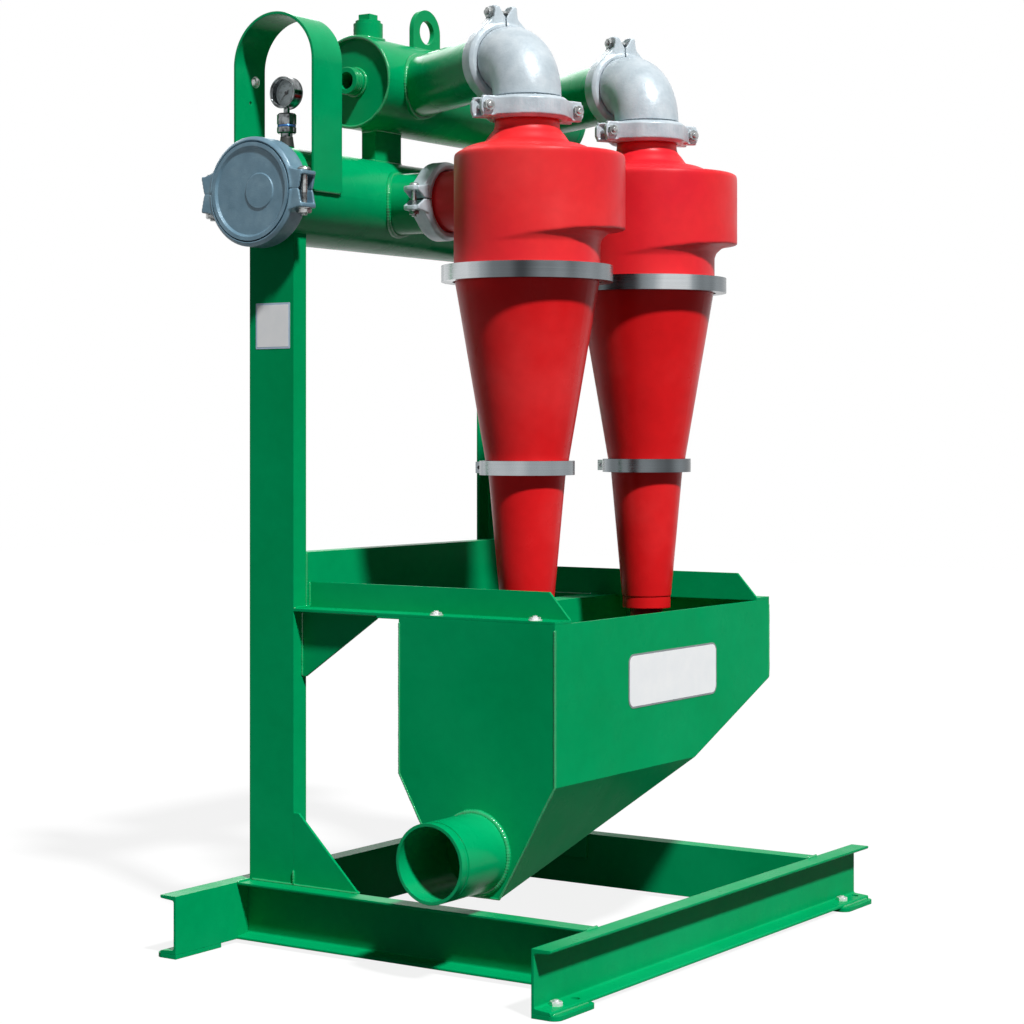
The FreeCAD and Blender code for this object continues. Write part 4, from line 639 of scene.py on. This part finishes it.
# The two sizes of housing; lengths are in metres and the tangent is in degrees
BRANCH_SIZES = {"rim": 0.091, "half": 0.024, "bore": 0.0713, "reach": 0.126, "bolt": 0.110, "tall": 0.028,
                "wide": 0.022, "lug": 0.011, "wall": 0.005, "corner": 0.016, "tangent": 52.0, "notch": 0.028,
                "bolt_radius": 0.006, "across": 0.022, "head": 0.008}
CAP_SIZES = {"rim": 0.1225, "half": 0.030, "bore": 0.1101, "reach": 0.146, "bolt": 0.131, "tall": 0.041,
             "wide": 0.027, "lug": 0.010, "wall": 0.006, "corner": 0.007, "tangent": 62.0, "notch": 0.010,
             "bolt_radius": 0.008, "across": 0.030, "head": 0.010}
HALF_STEPS = 64
CORNER_STEPS = 6

# Half of the split line, and the bevels and laps of the cast form, in metres
SPLIT = 0.0015
MOUTH = 0.003
MOUTH_BEVEL = 0.005
RIM_BEVEL = 0.008
SIDE_BEVEL = 0.007
EAR_ROOT = 0.016
EAR_TIP = 0.004
WEB_DIP = 0.002
WEB_RISE = 0.006
SHOULDER_BACK = 0.012
SHOULDER_UNDER = 0.020
SHOULDER_SHORT = 0.010
SHOULDER_LAP = 0.004
SHOULDER_INSET = 0.003


def prism(bm, outline, place, low, high):
    """Closed prism of an outline between two levels, put in space by place(u, v, w)."""
    skin(bm, [[place(u, v, low) for u, v in outline], [place(u, v, high) for u, v in outline]])


def corner_arc(x, y, radius, start):
    """Quarter circle of points about a corner's centre, from a start in degrees."""
    angles = [math.radians(start + 90 * step / CORNER_STEPS) for step in range(CORNER_STEPS + 1)]
    return [(x + radius * math.cos(turn), y + radius * math.sin(turn)) for turn in angles]


def half_ring(bm, size, sign):
    """One half of the housing ring, with a bevel beside each pipe."""
    rim = size["rim"]
    half = size["half"]
    bore = size["bore"]
    profile = [(bore + MOUTH, -half), (rim - RIM_BEVEL, -half), (rim, SIDE_BEVEL - half),
               (rim, half - SIDE_BEVEL), (rim - RIM_BEVEL, half), (bore + MOUTH, half),
               (bore, half - MOUTH_BEVEL), (bore, MOUTH_BEVEL - half)]
    start = math.asin(SPLIT / bore)
    rings = []
    for step in range(HALF_STEPS + 1):
        turn = start + (math.pi - 2 * start) * step / HALF_STEPS
        rings.append([Vector((r * math.cos(turn), sign * r * math.sin(turn), z)) for r, z in profile])
    skin(bm, rings)


def ear_quarter(bm, size, side, sign):
    """Quarter of the ears: a bolt lug, two thin webs and the shoulder that runs into the ring."""
    reach = size["reach"]
    tall = size["tall"]
    wide = size["wide"]
    under = tall - size["lug"]
    inner = size["rim"] - EAR_ROOT
    corner = size["corner"]

    def flat(u, v, w):
        return Vector((side * u, sign * w, v))

    def upright(u, v, w):
        return Vector((side * u, sign * v, w))

    lug = ([(inner, -wide)] + corner_arc(reach - corner, corner - wide, corner, -90)
           + corner_arc(reach - corner, wide - corner, corner, 0) + [(inner, wide)])
    prism(bm, lug, flat, under, tall)
    web = [(inner, SPLIT), (reach - size["notch"], SPLIT), (reach - EAR_TIP, under),
           (reach - EAR_TIP, tall - WEB_DIP), (inner, tall + WEB_RISE)]
    for low, high in ((-wide, size["wall"] - wide), (wide - size["wall"], wide)):
        prism(bm, web, upright, low, high)
    turn = math.radians(size["tangent"])
    foot = (size["rim"] * math.cos(turn), size["rim"] * math.sin(turn))
    shoulder = [(foot[0] - SHOULDER_BACK, foot[1] - SHOULDER_UNDER), foot,
                (size["bolt"] - SHOULDER_SHORT, tall), (size["bolt"] - SHOULDER_SHORT, under),
                (size["rim"] - SHOULDER_LAP, under)]
    prism(bm, shoulder, upright, SHOULDER_INSET - wide, wide - SHOULDER_INSET)


def evaluated(name, mesh, settings):
    """Mesh after a run of modifiers, each given as its type and its values."""
    obj = bpy.data.objects.new(name, mesh)
    bpy.context.scene.collection.objects.link(obj)
    for kind, values in settings:
        modifier = obj.modifiers.new(kind.lower(), kind)
        for key, setting in values.items():
            setattr(modifier, key, setting)
    graph = bpy.context.evaluated_depsgraph_get()
    result = bpy.data.meshes.new_from_object(obj.evaluated_get(graph))
    result.name = name
    bpy.data.objects.remove(obj)
    return result


def housing_mesh(name, size, voxel, share):
    """Housing fused into one skin with soft cast edges, thinned to a share of its faces."""
    bm = bmesh.new()
    for sign in (1, -1):
        half_ring(bm, size, sign)
        for side in (1, -1):
            ear_quarter(bm, size, side, sign)
    bmesh.ops.recalc_face_normals(bm, faces=bm.faces)
    raw = bpy.data.meshes.new(name + "_raw")
    bm.to_mesh(raw)
    bm.free()
    return evaluated(name, raw, [("REMESH", {"mode": "VOXEL", "voxel_size": voxel}),
                                 ("SMOOTH", {"factor": 0.5, "iterations": 3}),
                                 ("DECIMATE", {"ratio": share})])


def aimed(centre, ears, along):
    """Matrix that puts local X along the ears and local Z along the pipe."""
    x = Vector(ears).normalized()
    z = Vector(along).normalized()
    matrix = Matrix((x, z.cross(x), z)).transposed().to_4x4()
    matrix.translation = Vector(centre)
    return matrix


def coupling_spots():
    """Node, sizes, place and the side of the bolt heads of each coupling."""
    cos = math.cos(BRANCH_ANGLE)
    sin = math.sin(BRANCH_ANGLE)
    run = ELBOW_REACH + JOINT_GAP / 2
    low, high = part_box("cap_coupling")
    joint = (HEADER_X, (low.y + high.y) / 2, FEED_Z)
    spots = [("cap_coupling", CAP_SIZES, aimed(joint, (1, 0, 0), (0, -1, 0)), 1)]
    for side, cone in CONES.items():
        inlet = side + "_inlet_coupling"
        neck = side + "_neck_coupling"
        mouth = (CONE_X - run * cos, cone.y + run * sin, OVERFLOW_Z)
        spots += [(inlet, BRANCH_SIZES, aimed(middle_of(inlet), (0, -1, 0), (1, 0, 0)), -1),
                  (neck, BRANCH_SIZES, aimed(middle_of(neck), (sin, cos, 0), (0, 0, 1)), 1),
                  (side + "_elbow_coupling", BRANCH_SIZES, aimed(mouth, (0, 0, 1), (cos, -sin, 0)), -1)]
    return spots


def cast_piece(name, mesh, look, node, matrix=None):
    """Object for a fused mesh that stands for the named node."""
    mesh.materials.clear()
    mesh.materials.append(look)
    for face in mesh.polygons:
        face.use_smooth = True
    obj = bpy.data.objects.new(name, mesh)
    bpy.context.scene.collection.objects.link(obj)
    if matrix is not None:
        obj.matrix_world = matrix
    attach(obj, "unit")
    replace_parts(obj, node)


def turned(bm, matrix, profile, sides=24):
    """Solid of revolution from (radius, height) pairs about local Z."""
    skin(bm, [[matrix @ Vector((r * math.cos(turn), r * math.sin(turn), h)) for turn in turns(sides)]
              for r, h in profile])


HEX_POINTS = 48
THREAD_SIDES = 16

# Forms of hexagons, threads and track bolts, as shares of their own sizes
HEX_CHAMFER = 0.16
HEX_FACE = 1.02
HEX_CORNER = 1.2
THREAD_RIDGE = ((0.88, 0.1), (1.0, 0.5), (0.88, 0.9))
THREAD_END = 0.82
CROWN_SHARE = 0.52
CROWN = ((0.96, 0.0), (1.0, 0.25), (0.9, 0.62), (0.62, 0.9), (0.2, 1.0))
WASHER_SHARE = 1.12
SHANK_SHARE = 0.98
SHANK_END = 0.2

# Lengths on them, in metres
THREAD_PITCH = 0.0018
NUT_WASHER = 0.0016
THREAD_OVER = 0.005


def hexagon(bm, matrix, across, low, high):
    """Hexagon with chamfered corners between two heights on local Z."""
    flat = across / 2
    bevel = flat * HEX_CHAMFER
    rings = []
    for height, share in ((low, HEX_FACE), (low + bevel, HEX_CORNER), (high - bevel, HEX_CORNER),
                          (high, HEX_FACE)):
        ring = []
        for turn in turns(HEX_POINTS):
            edge = flat / math.cos((turn + math.pi / 6) % (math.pi / 3) - math.pi / 6)
            reach = min(edge, flat * share)
            ring.append(matrix @ Vector((reach * math.cos(turn), reach * math.sin(turn), height)))
        rings.append(ring)
    skin(bm, rings)


def threaded(bm, matrix, radius, low, high):
    """Shank with thread ridges."""
    profile = [(radius * THREAD_END, low)]
    count = max(2, round((high - low) / THREAD_PITCH))
    for step in range(count):
        start = low + (high - low) * step / count
        profile += [(radius * share, start + THREAD_PITCH * rise) for share, rise in THREAD_RIDGE]
    profile.append((radius * THREAD_END, high))
    turned(bm, matrix, profile, THREAD_SIDES)


def track_bolt(bm, matrix, size):
    """Round-headed bolt with a washer and a nut; the head is on the high side of local Z."""
    tall = size["tall"]
    radius = size["bolt_radius"]
    head = size["head"]
    crown = size["across"] * CROWN_SHARE
    seat = -tall - NUT_WASHER
    turned(bm, matrix, [(crown * share, tall + head * rise) for share, rise in CROWN])
    turned(bm, matrix, [(crown * WASHER_SHARE, -tall), (crown * WASHER_SHARE, seat)])
    hexagon(bm, matrix, size["across"], seat - head, seat)
    shank = radius * SHANK_SHARE
    turned(bm, matrix, [(shank, -tall * SHANK_END), (shank, tall)], THREAD_SIDES)
    threaded(bm, matrix, radius, seat - head - THREAD_OVER, -tall * SHANK_END)


def couplings():
    """Cast housings in place of the plain couplings, and their track bolts."""
    branch = housing_mesh("branch_housing", BRANCH_SIZES, voxel=0.0016, share=0.2)
    large = housing_mesh("cap_housing", CAP_SIZES, voxel=0.0018, share=0.3)
    bm = bmesh.new()
    for node, size, matrix, heads in coupling_spots():
        if size is CAP_SIZES:
            cast_piece("cast_" + node, large, CAP_ZINC_PAINTED_SHADE, node, matrix)
        else:
            cast_piece("cast_" + node, branch, ZINC, node, matrix)
        for side in (1, -1):
            spot = Matrix.Translation(Vector((side * size["bolt"], 0, 0)))
            track_bolt(bm, matrix @ spot @ Matrix.Rotation(math.radians(-90 * heads), 4, "X"), size)
    bolts = piece_from("detailed_coupling_bolts", bm, BOLT, smooth=False)
    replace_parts(bolts, "coupling_bolts")


# Moulded heads

# Lengths in metres
DOME_BASE = 0.150
DOME_RISE = 0.039
DOME_SLACK = 0.0035
BASE_SLACK = 0.0004
NECK_R = 0.0737
NECK_LAP = 0.004
NECK_END = 0.030
SOFT_DEPTH = 0.026
HEAD_VOXEL = 0.003

# Rounds of smoothing, the share of faces kept, and the parts of the dome's fall
SOFT_ROUNDS = 24
ALL_ROUNDS = 2
HEAD_SHARE = 0.35
FLARE_END = 0.35
FLARE_PART = 0.40
SLOPE_PART = 0.30
ROUND_PART = 0.30


def dome_drop(share):
    """Fall of the dome from the neck to its base: a steep flare, a flat run and a round shoulder."""
    flare = 1 - (1 - min(share / FLARE_END, 1.0)) ** 2
    return DOME_RISE * (FLARE_PART * flare + SLOPE_PART * share + ROUND_PART * share ** 5)


def dome_base_height(node, axis):
    """Height of the shoulder, read from the head's own corners."""
    return min(corner.co.z for corner in node.data.vertices
               if abs(math.hypot(corner.co.x - axis.x, corner.co.y - axis.y) - DOME_BASE) < BASE_SLACK
               and corner.co.z > FEED_Z)


def head(side):
    """Head with a rounded dome and soft moulded edges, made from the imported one."""
    name = side + "_head"
    node = NODES[name]
    axis = CONES[side]
    mesh = evaluated(name + "_skin", node.data.copy(),
                     [("REMESH", {"mode": "VOXEL", "voxel_size": HEAD_VOXEL})])
    bm = bmesh.new()
    bm.from_mesh(mesh)
    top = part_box(name)[1].z
    shoulder = dome_base_height(node, axis)
    soft = []
    for vert in bm.verts:
        reach = math.hypot(vert.co.x - axis.x, vert.co.y - axis.y)
        share = (reach - NECK_R) / (DOME_BASE - NECK_R)
        if 0 < share < 1 and abs(vert.co.z - (shoulder + DOME_RISE * (1 - share))) < DOME_SLACK:
            vert.co.z = shoulder + DOME_RISE - dome_drop(share)
        if reach > NECK_R - NECK_LAP and shoulder - SOFT_DEPTH < vert.co.z < top - NECK_END:
            soft.append(vert)
    for verts, rounds in ((soft, SOFT_ROUNDS), (bm.verts, ALL_ROUNDS)):
        for _ in range(rounds):
            bmesh.ops.smooth_vert(bm, verts=verts, factor=0.5,
                                  use_axis_x=True, use_axis_y=True, use_axis_z=True)
    bm.to_mesh(mesh)
    bm.free()
    cast = evaluated(name + "_cast", mesh, [("DECIMATE", {"ratio": HEAD_SHARE})])
    cast_piece("moulded_" + name, cast, HEAD_RED_FADE_AND_PAINTED_SHEEN, name)


# Gauge, plates and small parts

# Gauge: degrees and counts, then lengths in metres; the marks are (inner radius, half width),
# the rings (radius, thickness, height) and the profiles rows of (radius, height)
DIAL_START = 225
DIAL_SWEEP = 270
MARK_STEPS = 50
LONG_EVERY = 5
NUMBER_STEPS = 10
RING_STEPS = 64
RING_SIDES = 10
BAND_SIDES = 40
SLEEVE_SIDES = 32
MARK_END = 0.0275
LONG_MARK = (0.0225, 0.0005)
SHORT_MARK = (0.0245, 0.0003)
INK_THICK = 0.0002
NUMBER_R = 0.0178
NUMBER_SIZE = 0.0062
CASE_DEPTH = 0.0295
BEZEL = (0.0343, 0.0019, 0.0006)
BACK_RIM = (0.0352, 0.0012, 0.002 - CASE_DEPTH)
SEAL_BAND = ((0.0203, 0.0458), (0.0211, 0.0463), (0.0211, 0.0506), (0.0203, 0.0511))
SLEEVE = ((0.0172, 0.0004), (0.0172, 0.0030), (0.0146, 0.0200), (0.0146, 0.0230), (0.0138, 0.0240))

# Plates, the guard's bolt, the boss's thread and the hexagon bolts, in metres
PLATE_LAP = 0.0002
GUARD_BOLT_Y = -0.439
GUARD_BOLT_Z = 1.948
GUARD_BOLT = ((0.0135, -0.0005), (0.0135, 0.0012), (0.0120, 0.0014), (0.0110, 0.0042), (0.0075, 0.0070),
              (0.0025, 0.0082))
BOSS_RIDGE = 0.0021
BOSS_RIDGE_LAP = 0.0002
BOSS_RIDGE_START = 0.0035
BOSS_PITCH = 0.0062
WASHER_EDGE = 0.0018
WASHER_TOP = 0.0024
WASHER_BEVEL = 0.0006
THREAD_SHOWN = 0.003
THREAD_START = 0.006
SHAFT_LAP = 0.001

# Ridges on the boss, sides of a washer, and shares of the width across a hexagon
BOSS_RIDGES = 4
WASHER_SIDES = 32
BOLT_SHARE = 0.27
SHAFT_SHARE = 0.26


def gauge_print():
    """Marks and numbers on the dial."""
    low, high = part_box("gauge_dial")
    centre = (low + high) / 2
    face = low.y - INK_THICK
    depth = Vector((0, INK_THICK, 0))
    bm = bmesh.new()
    for step in range(MARK_STEPS + 1):
        turn = math.radians(DIAL_START - DIAL_SWEEP * step / MARK_STEPS)
        inner, half = SHORT_MARK if step % LONG_EVERY else LONG_MARK
        along = Vector((math.cos(turn), 0, math.sin(turn)))
        across = Vector((-math.sin(turn), 0, math.cos(turn))) * half
        start = Vector((centre.x, face, centre.z)) + along * inner
        stop = Vector((centre.x, face, centre.z)) + along * MARK_END
        skin(bm, [[start - across, start + across, start + across + depth, start - across + depth],
                  [stop - across, stop + across, stop + across + depth, stop - across + depth]])
    piece_from("dial_marks", bm, INK, smooth=False)
    for number in range(0, NUMBER_STEPS + 1, 2):
        turn = math.radians(DIAL_START - DIAL_SWEEP * number / NUMBER_STEPS)
        name = "dial_number_%d" % number
        curve = bpy.data.curves.new(name, "FONT")
        curve.body = str(number * 10)
        curve.size = NUMBER_SIZE
        curve.align_x = "CENTER"
        curve.align_y = "CENTER"
        curve.materials.append(INK)
        obj = bpy.data.objects.new(name, curve)
        obj.location = (centre.x + NUMBER_R * math.cos(turn), face, centre.z + NUMBER_R * math.sin(turn))
        obj.rotation_euler = (math.radians(90), 0, 0)
        bpy.context.scene.collection.objects.link(obj)
        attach(obj, "unit")


def add_ring(bm, matrix, radius, thick, height):
    """Round ring about local Z."""
    rings = []
    for turn in turns(RING_STEPS):
        ring = []
        for angle in turns(RING_SIDES):
            reach = radius + thick * math.cos(angle)
            rise = height + thick * math.sin(angle)
            ring.append(matrix @ Vector((reach * math.cos(turn), reach * math.sin(turn), rise)))
        rings.append(ring)
    skin(bm, rings, closed_run=True)


def gauge_trim():
    """Rolled bezel and rear rim of the case, a blue band round the seal, and the sleeve of the nipple."""
    low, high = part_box("gauge_case")
    centre = Vector(((low.x + high.x) / 2, low.y, (low.z + high.z) / 2))
    front = Matrix.Translation(centre) @ Matrix.Rotation(math.radians(90), 4, "X")
    bm = bmesh.new()
    add_ring(bm, front, *BEZEL)
    add_ring(bm, front, *BACK_RIM)
    piece_from("gauge_bezel", bm, CHROME)
    low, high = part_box("gauge_seal")
    stem = Matrix.Translation(Vector(((low.x + high.x) / 2, (low.y + high.y) / 2, low.z)))
    bm = bmesh.new()
    turned(bm, stem, SEAL_BAND, BAND_SIDES)
    piece_from("seal_band", bm, BLUE_BAND)
    bm = bmesh.new()
    turned(bm, stem, SLEEVE, SLEEVE_SIDES)
    piece_from("nipple_sleeve", bm, LINER)


def blank_plate(name, centre, across, outward, look, wide, tall, corner, thick):
    """Thin rounded plate on a wall; across is its level direction."""
    u_axis = Vector(across)
    w_axis = Vector(outward)
    outline = []
    for x_sign, y_sign, start in ((1, 1, 0), (-1, 1, 90), (-1, -1, 180), (1, -1, 270)):
        outline += corner_arc(x_sign * (wide / 2 - corner), y_sign * (tall / 2 - corner), corner, start)

    def place(u, v, w):
        return Vector(centre) + u_axis * u + Vector((0, 0, v)) + w_axis * w

    bm = bmesh.new()
    prism(bm, outline, place, -PLATE_LAP, thick)
    piece_from(name, bm, look, smooth=False)


def plates():
    """The bare plates on the column and on the hopper, each on a slightly larger edge."""
    column = ((-0.3954, FRONT_WEB_Y, 1.384), (1, 0, 0), (0, -1, 0))
    hopper = ((CONE_X + HOPPER_HALF, -0.025, 0.604), (0, 1, 0), (1, 0, 0))
    blank_plate("column_plate_edge", *column, PLATE_BLUE, wide=0.099, tall=0.103, corner=0.002, thick=0.0006)
    blank_plate("column_plate", *column, PLATE_WHITE, wide=0.090, tall=0.094, corner=0.001, thick=0.0009)
    blank_plate("hopper_plate_edge", *hopper, DIAL, wide=0.390, tall=0.118, corner=0.020, thick=0.0008)
    blank_plate("hopper_plate", *hopper, PLATE_WHITE, wide=0.382, tall=0.110, corner=0.016, thick=0.0012)


def four_spots(name):
    """Lowest and highest corners of each of a group's four bolts, one in each quarter."""
    middle = middle_of(name)
    corners = [vert.co for vert in NODES[name].data.vertices]
    for x_sign in (1, -1):
        for y_sign in (1, -1):
            near = [co for co in corners if (co.x - middle.x) * x_sign > 0 and (co.y - middle.y) * y_sign > 0]
            yield (Vector([min(co[axis] for co in near) for axis in range(3)]),
                   Vector([max(co[axis] for co in near) for axis in range(3)]))


def hexagon_bolts(name, seat, across, washer):
    """Hexagon heads on washers above a seat, with threaded ends over them and shanks below."""
    bm = bmesh.new()
    for low, high in four_spots(name):
        middle = (low + high) / 2
        axis = Matrix.Translation(Vector((middle.x, middle.y, 0)))
        turned(bm, axis, [(washer, seat), (washer, seat + WASHER_EDGE),
                          (washer - WASHER_BEVEL, seat + WASHER_TOP)], WASHER_SIDES)
        hexagon(bm, axis, across, seat + WASHER_TOP, high.z - THREAD_SHOWN)
        threaded(bm, axis, across * BOLT_SHARE, high.z - THREAD_START, high.z)
        shaft = across * SHAFT_SHARE
        turned(bm, axis, [(shaft, low.z), (shaft, seat + SHAFT_LAP)], THREAD_SIDES)
    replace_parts(piece_from("detailed_" + name, bm, BRIGHT, smooth=False), name)


def small_parts():
    """Round bolt head on the guard, and thread ridges round the front boss."""
    seat = Matrix.Translation(Vector((HEADER_X - HEADER_R, GUARD_BOLT_Y, GUARD_BOLT_Z)))
    bm = bmesh.new()
    turned(bm, seat @ Matrix.Rotation(math.radians(90), 4, "Y"), GUARD_BOLT)
    piece_from("guard_bolt_head", bm, BRIGHT)
    end = Matrix.Translation(Vector((HEADER_X, DISC_FACE_Y - BOSS_REACH, OVERFLOW_Z)))
    boss = end @ Matrix.Rotation(math.radians(-90), 4, "X")
    bm = bmesh.new()
    for step in range(BOSS_RIDGES):
        add_ring(bm, boss, BOSS_R - BOSS_RIDGE_LAP, BOSS_RIDGE, BOSS_RIDGE_START + BOSS_PITCH * step)
    piece_from("boss_thread", bm, WELD)


# Floor, lights and camera

# Half the floor's side, its tone and how brightly it is seen, and the light from the surroundings
FLOOR_HALF = 14.0
FLOOR_TONE = 0.12
FLOOR_GLOW = 0.87
WORLD_FILL = 0.075

# Camera: place in metres, turn in degrees, lens and sensor in millimetres, shift as a share
CAMERA_AT = (3.0237, -4.6268, 1.1426)
CAMERA_TURN = 33.98
CAMERA_LENS = 83.46
CAMERA_SHIFT = -0.0766
SENSOR_WIDTH = 36


def larger(nodes, links, one, other):
    """The larger of two values."""
    node = nodes.new("ShaderNodeMath")
    node.operation = "MAXIMUM"
    links.new(one, node.inputs[0])
    links.new(other, node.inputs[1])
    return node.outputs[0]


def backdrop_mix(nodes, links):
    """1 where the camera, a reflection or glass sees the surface, else 0."""
    rays = nodes.new("ShaderNodeLightPath").outputs
    seen = larger(nodes, links, rays["Is Camera Ray"], rays["Is Glossy Ray"])
    return larger(nodes, links, seen, rays["Is Transmission Ray"])


def floor():
    """Pale floor that looks as bright as the background and takes soft shadows."""
    bm = bmesh.new()
    bmesh.ops.create_grid(bm, x_segments=1, y_segments=1, size=FLOOR_HALF)
    mesh = bpy.data.meshes.new("floor")
    bm.to_mesh(mesh)
    bm.free()
    mat, nodes, links, _ = tree_of("pale_floor")
    nodes.clear()
    out = nodes.new("ShaderNodeOutputMaterial")
    diffuse = nodes.new("ShaderNodeBsdfDiffuse")
    diffuse.inputs["Color"].default_value = (FLOOR_TONE, FLOOR_TONE, FLOOR_TONE, 1)
    glow = nodes.new("ShaderNodeEmission")
    scale = nodes.new("ShaderNodeMath")
    scale.operation = "MULTIPLY"
    scale.inputs[1].default_value = FLOOR_GLOW
    links.new(backdrop_mix(nodes, links), scale.inputs[0])
    links.new(scale.outputs[0], glow.inputs["Strength"])
    both = nodes.new("ShaderNodeAddShader")
    links.new(diffuse.outputs[0], both.inputs[0])
    links.new(glow.outputs[0], both.inputs[1])
    links.new(both.outputs[0], out.inputs["Surface"])
    mesh.materials.append(mat)
    obj = bpy.data.objects.new("floor", mesh)
    bpy.context.scene.collection.objects.link(obj)


def world():
    """White surroundings that light the part only a little."""
    studio = bpy.data.worlds.new("studio")
    bpy.context.scene.world = studio
    studio.use_nodes = True
    nodes = studio.node_tree.nodes
    links = studio.node_tree.links
    background = nodes["Background"]
    background.inputs["Color"].default_value = (1, 1, 1, 1)
    level = nodes.new("ShaderNodeMapRange")
    level.inputs["To Min"].default_value = WORLD_FILL
    level.inputs["To Max"].default_value = 1.0
    links.new(backdrop_mix(nodes, links), level.inputs["Value"])
    links.new(level.outputs["Result"], background.inputs["Strength"])


def sun(name, strength, source, softness):
    """Lamp whose light comes from the direction of its source."""
    data = bpy.data.lights.new(name, "SUN")
    data.energy = strength
    data.angle = math.radians(softness)
    obj = bpy.data.objects.new(name, data)
    obj.rotation_euler = Vector(source).to_track_quat("Z", "Y").to_euler()
    bpy.context.scene.collection.objects.link(obj)


def camera():
    """Level camera at the place that was fitted to the photograph."""
    data = bpy.data.cameras.new("camera")
    data.sensor_width = SENSOR_WIDTH
    data.lens = CAMERA_LENS
    data.shift_y = CAMERA_SHIFT
    obj = bpy.data.objects.new("camera", data)
    obj.location = CAMERA_AT
    obj.rotation_euler = (math.radians(90), 0, math.radians(CAMERA_TURN))
    bpy.context.scene.collection.objects.link(obj)
    bpy.context.scene.camera = obj


dress_nodes()
manifold_welds()
frame_welds()
hopper_welds()
couplings()
for cone_side in CONES:
    head(cone_side)
gauge_print()
gauge_trim()
plates()
small_parts()
hexagon_bolts("hopper_bolts", HOPPER_SEAT, across=0.021, washer=0.0148)
hexagon_bolts("foot_bolts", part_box("front_left_foot")[1].z, across=0.023, washer=0.0138)
floor()
world()
sun("key", strength=4.3, source=(0.555, -0.285, 0.782), softness=4.5)
sun("back", strength=0.7, source=(-0.7, 0.6, 0.4), softness=30.0)
camera()
bpy.context.scene.view_settings.view_transform = "Standard"
